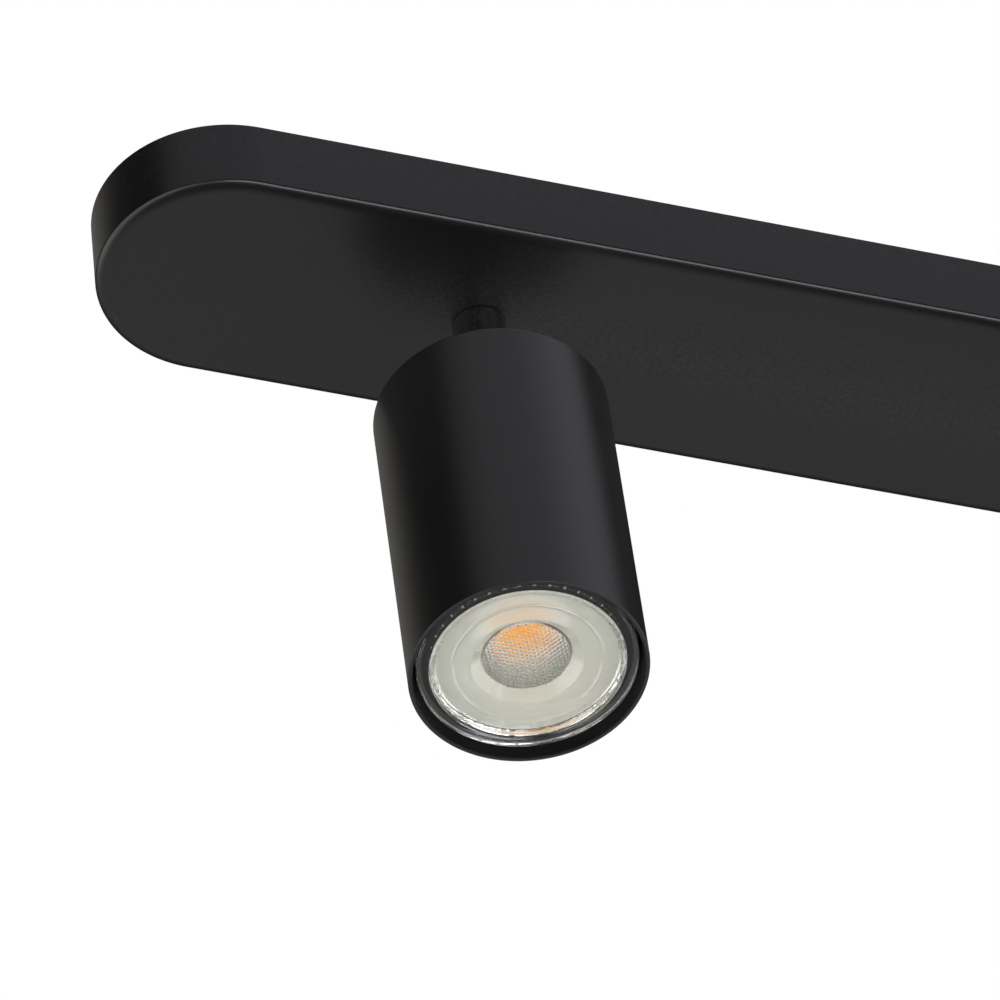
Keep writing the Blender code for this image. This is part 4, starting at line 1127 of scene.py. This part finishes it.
def make_lampholders():
    high_z = -HOLDER_TOP_DROP
    low_z = high_z - HOLDER_HEIGHT
    half_x, half_y = HOLDER_LENGTH / 2, HOLDER_WIDTH / 2
    foot_room = PIN_FOOT_RADIUS + PIN_CLEARANCE
    outline = rounded(
        [(-half_x, -half_y), (half_x, -half_y), (half_x, half_y), (-half_x, half_y)], 2.5 * MM, 8
    )
    for n in HEAD_NUMBERS:
        cutters = []
        for rest in (90, -90):
            free = rest - LOCK_TURN
            cavity = kidney(PIN_CIRCLE, foot_room, free, rest)
            cutters.append(
                prism(cavity, low_z + HOLDER_FACE, low_z + PIN_LENGTH + PIN_CLEARANCE + MM)
            )
            slot = kidney(PIN_CIRCLE, PIN_RADIUS + PIN_CLEARANCE, free, rest)
            cutters.append(prism(slot, low_z - MM, low_z + HOLDER_FACE + MM))
            x, y = arc(PIN_CIRCLE, free, free, 1)[0]
            cutters.append(
                cylinder(foot_room, low_z - MM, low_z + HOLDER_FACE + MM, centre=(x, y, 0))
            )
        for side in (-1, 1):
            centre = (side * HOLDER_SCREW_X, 0, 0)
            cutters.append(
                cylinder(HOLDER_SCREW_RADIUS + SEAT_GAP, low_z - MM, high_z + MM, centre=centre)
            )
            recess = low_z + HOLDER_SCREW_HEAD_HEIGHT + 2 * SEAT_GAP
            cutters.append(
                cylinder(HOLDER_SCREW_HEAD + SEAT_GAP, low_z - MM, recess, centre=centre)
            )
        bm = soften(cut_away(prism(outline, low_z, high_z), cutters), 0.22 * MM, 50)
        place_piece(
            f"steatite_holder_{n}", bm, STEATITE, f"head_{n}",
            f"lampholder_{n}", head_matrix(n), 45,
        )


make_lampholders()

# ---------------------------------------------------------------------------------------------
# Head leads: the same sleeved wire, from the knuckle's hollow down its thread and across to
# the back of the lampholder.
def make_head_leads():
    drop = (HOLDER_TOP_DROP - THREAD_LENGTH) / 4
    route = [
        (0, 0, PIVOT_TO_HEAD - LAP_SHOULDER),
        (0, 0, -THREAD_LENGTH - drop),
        (0, drop, -THREAD_LENGTH - 3 * drop),
        (0, drop, -HOLDER_TOP_DROP + SEAT_GAP),
    ]
    for n in HEAD_NUMBERS:
        bm = braided_lead(route, drop)
        place_piece(
            f"holder_lead_{n}", bm, SLEEVE, f"head_{n}", f"head_lead_{n}",
            head_matrix(n), 80,
        )


make_head_leads()

# ---------------------------------------------------------------------------------------------
# Lamp bodies: pressed clear glass cups, 50 mm across, open at the front and aluminised inside
# the bowl in small facets. The flange stays clear, and a knurled step grips the lens.
LAMP_FACE_DROP = 85.6 * MM
LAMP_SEAT_DROP = 36.6 * MM
LAMP_RADIUS = 25.3 * MM
LAMP_RIM_HEIGHT = 3.2 * MM
LAMP_WALL = 1.3 * MM
LENS_RADIUS = 22.1 * MM
LENS_THICKNESS = 2.6 * MM
LAMP_NECK_RADIUS = 12.8 * MM
LAMP_BASE_SHOWN = 8 * MM
BOWL_NECK_RISE = 6 * MM
BOWL_FACETS = 40
BOWL_ROWS = 9
FACET_STEPS = 8
FACET_RINGS = 3
FACET_DEPTH = 0.32 * MM
KNURL_RINGS = 4
KNURL_DEPTH = 0.32 * MM


def make_clear_glass(name, tint, roughness, ior, clearness=1.0, ripple=(500.0, 0.01 * MM)):
    """Pressed glass, rippled by its mould. Its ripple is a scale and a depth in metres."""
    made, tree, shader = new_finish(
        name, Base_Color=tint, Transmission_Weight=clearness, IOR=ior, Roughness=roughness
    )
    grain = use_group(tree, GRAIN, Scale=ripple[0])
    embossed(tree, shader, grain.outputs["Height"], ripple[1])
    clear = add_node(tree, "ShaderNodeBsdfTransparent", sockets={"Color": (0.96, 0.96, 0.94, 1)})
    is_shadow = add_node(tree, "ShaderNodeLightPath").outputs["Is Shadow Ray"]
    mix = add_node(tree, "ShaderNodeMixShader", sockets={0: is_shadow})
    tree.links.new(shader.outputs["BSDF"], mix.inputs[1])
    tree.links.new(clear.outputs["BSDF"], mix.inputs[2])
    tree.links.new(mix.outputs["Shader"], tree.nodes["Material Output"].inputs["Surface"])
    return made


def make_mirror_coat():
    """Vacuum-coated aluminium on pressed glass: bright, a little cloudy and crazed."""
    made, tree, shader = new_finish("aluminised_bowl", Metallic=1.0)
    grain = use_group(tree, GRAIN, Scale=700.0)
    tone = ranged(tree, grain.outputs["Height"], 0.0, 1.0, 0.35, 0.65)
    colour = blended(tree, tone, (0.88, 0.88, 0.84, 1), (0.96, 0.955, 0.92, 1))
    tree.links.new(colour, shader.inputs["Base Color"])
    tree.links.new(ranged(tree, tone, 0.08, 0.20), shader.inputs["Roughness"])
    embossed(tree, shader, grain.outputs["Height"], 0.05 * MM)
    return made


PRESSED_GLASS = make_clear_glass("pressed_glass", (0.95, 0.97, 0.95, 1), 0.03, 1.50)
MIRROR_COAT = make_mirror_coat()


def make_lamp_body(n):
    """The cup, turned with facets on its inner face. Its heights run up from the lamp's face."""
    neck_low = LAMP_FACE_DROP - LAMP_SEAT_DROP - LAMP_BASE_SHOWN
    bowl_top = neck_low - BOWL_NECK_RISE
    bowl_radius = LAMP_RADIUS - 1.2 * MM
    lens_seat = LENS_THICKNESS + SEAT_GAP
    neck_inside = LAMP_NECK_RADIUS - LAMP_WALL

    def bowl(share):
        radius = LAMP_NECK_RADIUS + (bowl_radius - LAMP_NECK_RADIUS) * math.sqrt(share)
        return radius, bowl_top + (LAMP_RIM_HEIGHT - bowl_top) * share

    outer = [(LAMP_NECK_RADIUS, neck_low)] + [bowl((i / 24) ** 1.5) for i in range(25)]
    outer += rounded(
        [outer[-1], (LAMP_RADIUS, LAMP_RIM_HEIGHT), (LAMP_RADIUS, 0), (LENS_RADIUS + SEAT_GAP, 0)]
        + [(LENS_RADIUS + SEAT_GAP, lens_seat)], 0.45 * MM, 5, closed=False,
    )[1:]
    inner = []
    for i in range(BOWL_ROWS * FACET_RINGS + 1):
        radius, z = bowl(1 - i / (BOWL_ROWS * FACET_RINGS))
        if z > lens_seat + MM:
            inner.append((max(radius - LAMP_WALL, neck_inside), z))
    knurled = [
        (LENS_RADIUS - (0.1 + 0.3 * i) * MM, lens_seat + 0.25 * MM) for i in range(KNURL_RINGS)
    ]
    inner = knurled + [(LENS_RADIUS - 1.2 * MM, lens_seat)] + inner + [(neck_inside, neck_low)]
    steps = BOWL_FACETS * FACET_STEPS
    bm = turned(outer + inner, steps)
    bm.verts.ensure_lookup_table()
    first = len(outer) * steps
    for i, rough in enumerate(np.random.RandomState(n).uniform(-1, 1, KNURL_RINGS * steps)):
        bm.verts[first + i].co.z += KNURL_DEPTH * float(rough)
    for row in range(KNURL_RINGS + 1, len(inner) - 1):
        radius = inner[row][0]
        for i in range(steps):
            # Each facet is flat across, so its middle stands a little inwards.
            across = (i / steps * BOWL_FACETS + (row // FACET_RINGS) * 0.5) % 1.0 - 0.5
            down = (row % FACET_RINGS) / FACET_RINGS - 0.33
            dip = FACET_DEPTH * (1 - 4 * across * across) * (1 - 2 * abs(down))
            corner = bm.verts[first + row * steps + i]
            scale = max(neck_inside, radius - dip) / radius
            corner.co.x *= scale
            corner.co.y *= scale
    for face in bm.faces:
        middle = face.calc_center_median()
        inside = math.hypot(middle.x, middle.y) < LAMP_RADIUS - 1.4 * MM
        face.material_index = int(inside and middle.z > lens_seat - 0.2 * MM)
    return bm


def lamp_matrix(n):
    """The middle of the lamp's face, with +Z up into the head."""
    return head_matrix(n) @ Matrix.Translation((0, 0, -LAMP_FACE_DROP))


def make_lamp_bodies():
    for n in HEAD_NUMBERS:
        place_piece(
            f"glass_cup_{n}", make_lamp_body(n), [PRESSED_GLASS, MIRROR_COAT], f"lamp_{n}",
            f"lamp_body_{n}", lamp_matrix(n), 60,
        )


make_lamp_bodies()

# ---------------------------------------------------------------------------------------------
# Lamp lenses: clear moulded acrylic, milky behind its flat field. Fine turned rings and one
# raised ring surround a conical well, whose floor is packed with small lenslets in a hexagonal
# grid that spread the light.
FIELD_INNER = 13.0 * MM
FIELD_RING = 17.2 * MM
FIELD_RING_HEIGHT = 0.35 * MM
WELL_FLOOR = 9.8 * MM
WELL_DEPTH = 3 * MM
WELL_THICKNESS = 1.6 * MM
LENSLET_PITCH = 1.05 * MM
LENSLET_HEIGHT = 0.28 * MM
LENS_FACE = 0.9 * MM
FIELD_OUTER = LENS_RADIUS - 1.5 * MM
FIELD_STEPS = 60
FLOOR_STEPS = 84
BEAD_COUNT = 150
BEAD_HEIGHT = 0.25 * MM
ACRYLIC = make_clear_glass("clear_acrylic", (0.99, 0.985, 0.97, 1), 0.04, 1.49)
MILKY_ACRYLIC = make_clear_glass(
    "milky_acrylic", (0.60, 0.605, 0.545, 1), 0.20, 1.49, 0.5, (160.0, 0.12 * MM)
)


def lenslet_height(x, y):
    """How far a point stands out on a floor packed with round lenslets in a hexagonal grid."""
    row_step = LENSLET_PITCH * math.sqrt(3) / 2
    nearest = 1.0
    for row in (math.floor(y / row_step), math.floor(y / row_step) + 1):
        shift = 0.5 * (row % 2)
        column = round(x / LENSLET_PITCH - shift) + shift
        distance = math.hypot(x - column * LENSLET_PITCH, y - row * row_step)
        nearest = min(nearest, distance / (LENSLET_PITCH / 2))
    return LENSLET_HEIGHT * max(0.0, 1 - nearest * nearest)


def make_lamp_lens():
    """The lens from its back to its face: beaded edge, rim, field, well and dimpled floor."""
    steps = BEAD_COUNT * 2
    bm = bmesh.new()

    def ring(radius, z, dimpled=False, bead=0.0):
        corners = []
        for i in range(steps):
            angle = 2 * math.pi * i / steps
            x, y = radius * math.cos(angle), radius * math.sin(angle)
            drop = lenslet_height(x, y) if dimpled else bead * (i % 2)
            corners.append(bm.verts.new((x, y, z - drop)))
        return corners

    rim = rounded(
        [(LENS_RADIUS, LENS_THICKNESS), (LENS_RADIUS, LENS_FACE - 0.7 * MM)]
        + [(LENS_RADIUS - 0.5 * MM, LENS_FACE - 0.7 * MM), (FIELD_OUTER, LENS_FACE)],
        0.2 * MM, 3, closed=False,
    )
    field = []
    for i in range(FIELD_STEPS, 0, -1):
        radius = FIELD_INNER + (FIELD_OUTER - FIELD_INNER) * i / FIELD_STEPS
        groove = 0.03 * MM * math.cos(2 * math.pi * i / 4)
        ridge = FIELD_RING_HEIGHT * math.exp(-(((radius - FIELD_RING) / (0.35 * MM)) ** 2))
        field.append((radius, LENS_FACE + groove - ridge))
    well_out, well_up = FIELD_INNER - WELL_FLOOR, LENS_FACE - WELL_DEPTH
    well = [
        (WELL_FLOOR + well_out * i / 10, WELL_DEPTH + well_up * i / 10) for i in range(10, 0, -1)
    ]
    loops = [ring(WELL_FLOOR + 1.2 * MM, WELL_DEPTH + WELL_THICKNESS)]
    loops.append(ring(FIELD_INNER + 1.4 * MM, LENS_THICKNESS))
    for share in (0.75, 0.5, 0.25):
        loops.append(ring(LENS_RADIUS - 1.6 * MM * share, LENS_THICKNESS, bead=BEAD_HEIGHT))
    loops += [ring(radius, z) for radius, z in rim[:-1] + field + well]
    for i in range(FLOOR_STEPS, 0, -1):
        loops.append(ring(WELL_FLOOR * i / FLOOR_STEPS, WELL_DEPTH, dimpled=i < FLOOR_STEPS))
    tip = bm.verts.new((0, 0, WELL_DEPTH - lenslet_height(0, 0)))
    for low, high in zip(loops, loops[1:]):
        for i, corner in enumerate(low):
            bm.faces.new((low[i - 1], corner, high[i], high[i - 1]))
    for i, corner in enumerate(loops[-1]):
        bm.faces.new((loops[-1][i - 1], corner, tip))
    bm.faces.new(loops[0][::-1])
    for face in bm.faces:
        middle = face.calc_center_median()
        behind = middle.z > LENS_THICKNESS - 0.4 * MM
        reach = math.hypot(middle.x, middle.y)
        face.material_index = int(behind and WELL_FLOOR + 1.2 * MM < reach < LENS_RADIUS - MM)
    return bm


def make_lamp_lenses():
    for n in HEAD_NUMBERS:
        place_piece(
            f"front_lens_{n}", make_lamp_lens(), [ACRYLIC, MILKY_ACRYLIC], f"lamp_{n}",
            f"lamp_lens_{n}", lamp_matrix(n), 60,
        )


make_lamp_lenses()

# ---------------------------------------------------------------------------------------------
# Lamp chips: a white aluminium board with a round dam, filled with orange phosphor gel.
CHIP_SETBACK = 11 * MM
CHIP_BOARD_RADIUS = 9.6 * MM
CHIP_DOT_RADIUS = 7 * MM
CHIP_DOT_HEIGHT = 0.6 * MM
CHIP_BOARD_THICKNESS = 1.6 * MM
WHITE_MASK = make_moulded(
    "white_solder_mask", (0.80, 0.81, 0.80, 1), (0.90, 0.91, 0.90, 1), 0.30, 2500.0, 0.004 * MM
)


def make_phosphor():
    """Orange gel with the diodes showing as slightly deeper dots in a square grid."""
    made, tree, shader = new_finish("phosphor_gel", Roughness=0.34, Coat_Weight=0.15)
    place = add_node(tree, "ShaderNodeTexCoord").outputs["Object"]
    cells = add_node(
        tree, "ShaderNodeTexVoronoi", sockets={"Vector": place, "Scale": 700.0, "Randomness": 0.15}
    )
    dots = ranged(tree, cells.outputs["Distance"], 1.0, 0.0, 0.2, 0.5)
    colour = blended(tree, dots, (0.98, 0.41, 0.022, 1), (0.92, 0.31, 0.01, 1))
    tree.links.new(colour, shader.inputs["Base Color"])
    grain = use_group(tree, GRAIN, Scale=1500.0)
    embossed(tree, shader, grain.outputs["Height"], 0.02 * MM)
    return made


PHOSPHOR = make_phosphor()


def make_lamp_chips():
    back = CHIP_SETBACK + CHIP_BOARD_THICKNESS
    dome = [
        (CHIP_DOT_RADIUS * i / 16, CHIP_SETBACK - CHIP_DOT_HEIGHT * (1 - (i / 16) ** 4))
        for i in range(16, -1, -1)
    ]
    profile = rounded(
        [(0, back), (CHIP_BOARD_RADIUS, back), (CHIP_BOARD_RADIUS, CHIP_SETBACK)]
        + [(CHIP_DOT_RADIUS + 0.01 * MM, CHIP_SETBACK)], 0.12 * MM, 3, closed=False,
    )
    for n in HEAD_NUMBERS:
        bm = turned(profile + dome, 96)
        for face in bm.faces:
            middle = face.calc_center_median()
            face.material_index = int(
                middle.z < CHIP_SETBACK and math.hypot(middle.x, middle.y) < CHIP_DOT_RADIUS
            )
        place_piece(
            f"chip_board_{n}", bm, [WHITE_MASK, PHOSPHOR], f"lamp_{n}",
            f"lamp_chip_{n}", lamp_matrix(n), 40,
        )


make_lamp_chips()

# ---------------------------------------------------------------------------------------------
# Lamp bases: a moulded white plug cemented in the glass neck, with cooling ribs round its
# visible part and two plated pins with wide feet.
LAMP_BASE_RADIUS = 11.2 * MM
BASE_RIBS = 24
BASE_WHITE = make_moulded(
    "white_lamp_base", (0.74, 0.74, 0.71, 1), (0.86, 0.86, 0.84, 1), 0.38, 2000.0, 0.006 * MM
)


def make_lamp_bases():
    seat = LAMP_FACE_DROP - LAMP_SEAT_DROP
    neck_low = seat - LAMP_BASE_SHOWN
    plug_low = CHIP_SETBACK + CHIP_BOARD_THICKNESS + SEAT_GAP
    body = [(0, seat), (LAMP_BASE_RADIUS - 0.8 * MM, seat), (LAMP_BASE_RADIUS, seat - 0.8 * MM)]
    body += [(LAMP_BASE_RADIUS, neck_low - 10 * MM), (CHIP_BOARD_RADIUS, plug_low), (0, plug_low)]
    rib_rows = [
        (LAMP_BASE_RADIUS, seat - (0.8 + 6.6 * i / 6) * MM) for i in range(1, 7)
    ]
    profile = rounded(body[:3], 0.4 * MM, 4, False) + rib_rows + body[3:]
    for n in HEAD_NUMBERS:
        bm = turned(profile, BASE_RIBS * 8)
        for corner in bm.verts:
            reach = math.hypot(corner.co.x, corner.co.y)
            if reach > LAMP_BASE_RADIUS - 0.1 * MM and corner.co.z > neck_low + 0.4 * MM:
                turn = math.atan2(corner.co.y, corner.co.x) * BASE_RIBS
                scale = 1 - 0.035 * max(0.0, math.cos(turn))
                corner.co.x *= scale
                corner.co.y *= scale
        foot = seat + PIN_LENGTH
        for side in (-1, 1):
            pin = rounded(
                [(0, foot), (PIN_FOOT_RADIUS, foot), (PIN_FOOT_RADIUS, foot - PIN_FOOT_HEIGHT)]
                + [(PIN_RADIUS, foot - PIN_FOOT_HEIGHT), (PIN_RADIUS, seat - MM), (0, seat - MM)],
                0.3 * MM, 4, closed=False,
            )
            post = turned(pin, 40)
            post.transform(Matrix.Translation((0, side * PIN_CIRCLE, 0)))
            bm = joined(bm, post)
        for face in bm.faces:
            face.material_index = int(face.calc_center_median().z > seat + 0.02 * MM)
        place_piece(
            f"pin_base_{n}", bm, [BASE_WHITE, ZINC], f"lamp_{n}",
            f"lamp_base_{n}", lamp_matrix(n), 40,
        )


make_lamp_bases()

# ---------------------------------------------------------------------------------------------
# Studio: a pale floor far below, a dim room with soft boxes of light round the bar and plain
# white behind it, and a long-lens camera below the near side of the bar.
FLOOR_Z = -8.0
FLOOR_HALF = 150.0
CAMERA_PLACE = (-0.806454, -1.479240, -1.681303)
CAMERA_AZIMUTH = math.radians(22.799)
CAMERA_ELEVATION = math.radians(-44.971)
CAMERA_ROLL = math.radians(-6.499)
CAMERA_LENS = 354.67
# Each softbox: its bearing from +X and its height in degrees, half its width and height, how
# far its edges fade, and its light in red, green and blue.
SOFTBOXES = (
    (-71, 45, 56, 30, 10, (0.42, 0.425, 0.45)),
    (-38, 45, 14, 24, 16, (0.20, 0.20, 0.22)),
    (100, 42, 20, 26, 22, (0.26, 0.25, 0.225)),
    (-69, -41, 28, 10, 9, (6.60, 6.70, 7.00)),
    (68, -45, 60, 20, 16, (0.54, 0.54, 0.54)),
    (178, -32, 48, 24, 14, (2.00, 1.98, 1.88)),
    (2, -26, 24, 20, 12, (2.00, 1.98, 1.88)),
    (0, 90, 20, 16, 12, (0.60, 0.60, 0.60)),
)
SKY_LIGHT = 0.02
GROUND_LIGHT = 0.09


def make_floor():
    bm = bmesh.new()
    bmesh.ops.create_grid(bm, x_segments=8, y_segments=8, size=FLOOR_HALF)
    data = bpy.data.meshes.new("studio_floor")
    bm.to_mesh(data)
    bm.free()
    made, tree, shader = new_finish(
        "pale_floor", Base_Color=(0.8, 0.8, 0.8, 1), Roughness=0.9, Emission_Strength=0.7
    )
    shader.inputs["Emission Color"].default_value = (1, 1, 1, 1)
    data.materials.append(made)
    floor = bpy.data.objects.new("studio_floor", data)
    bpy.context.scene.collection.objects.link(floor)
    floor.location.z = FLOOR_Z
    for kind in ("diffuse", "glossy", "transmission", "shadow"):
        setattr(floor, f"visible_{kind}", False)


def softbox_glow(tree, towards, bearing, height, half_width, half_height, fade):
    """1 towards a softbox with soft edges, and 0 away from it."""
    turn = Matrix.Rotation(math.radians(bearing), 3, "Z")
    turn = turn @ Matrix.Rotation(-math.radians(height), 3, "Y")
    ahead, left, up = [
        vector_maths(tree, "DOT_PRODUCT", towards, tuple(turn @ Vector(axis)))
        for axis in ((1, 0, 0), (0, 1, 0), (0, 0, 1))
    ]
    across = maths(tree, "ARCTAN2", left, ahead)
    above = maths(tree, "ARCSINE", up)
    edges = []
    for angle, half in ((across, half_width), (above, half_height)):
        start, end = math.radians(half - fade / 2), math.radians(half + fade / 2)
        size = maths(tree, "ABSOLUTE", angle)
        edges.append(ranged(tree, size, 1.0, 0.0, start, end, "SMOOTHSTEP"))
    return maths(tree, "MULTIPLY", *edges)


def make_surroundings():
    """A dim room with soft boxes of light round the bar, and plain white behind it."""
    world = bpy.data.worlds.new("studio")
    bpy.context.scene.world = world
    world.use_nodes = True
    tree = world.node_tree
    tree.nodes.clear()
    towards = add_node(tree, "ShaderNodeTexCoord").outputs["Generated"]
    parts = add_node(tree, "ShaderNodeSeparateXYZ", sockets={"Vector": towards})
    room = ranged(tree, parts.outputs["Z"], GROUND_LIGHT, SKY_LIGHT, -0.25, 0.15)
    total = vector_maths(tree, "MULTIPLY", (1, 1, 1), room)
    for *shape, light in SOFTBOXES:
        glow = softbox_glow(tree, towards, *shape)
        total = vector_maths(tree, "ADD", total, vector_maths(tree, "MULTIPLY", light, glow))
    seen = add_node(tree, "ShaderNodeLightPath").outputs["Is Camera Ray"]
    sky = add_node(tree, "ShaderNodeBackground")
    tree.links.new(blended(tree, seen, total, (1, 1, 1, 1)), sky.inputs["Color"])
    out = add_node(tree, "ShaderNodeOutputWorld")
    tree.links.new(sky.outputs["Background"], out.inputs["Surface"])


def make_camera():
    forward = Vector(
        (
            math.sin(CAMERA_AZIMUTH) * math.cos(CAMERA_ELEVATION),
            math.cos(CAMERA_AZIMUTH) * math.cos(CAMERA_ELEVATION),
            -math.sin(CAMERA_ELEVATION),
        )
    )
    right = forward.cross(Vector((0, 0, 1))).normalized()
    up = right.cross(forward)
    lens = bpy.data.cameras.new("camera")
    lens.lens = CAMERA_LENS
    lens.sensor_width = 36
    lens.clip_start = 0.05
    lens.clip_end = 500
    camera = bpy.data.objects.new("camera", lens)
    bpy.context.scene.collection.objects.link(camera)
    level = Matrix((right, up, -forward)).transposed()
    turn = Matrix.Rotation(CAMERA_ROLL, 3, "Z")
    camera.matrix_world = Matrix.Translation(CAMERA_PLACE) @ (level @ turn).to_4x4()
    bpy.context.scene.camera = camera
    bpy.context.scene.view_settings.view_transform = "Standard"


make_floor()
make_surroundings()
make_camera()
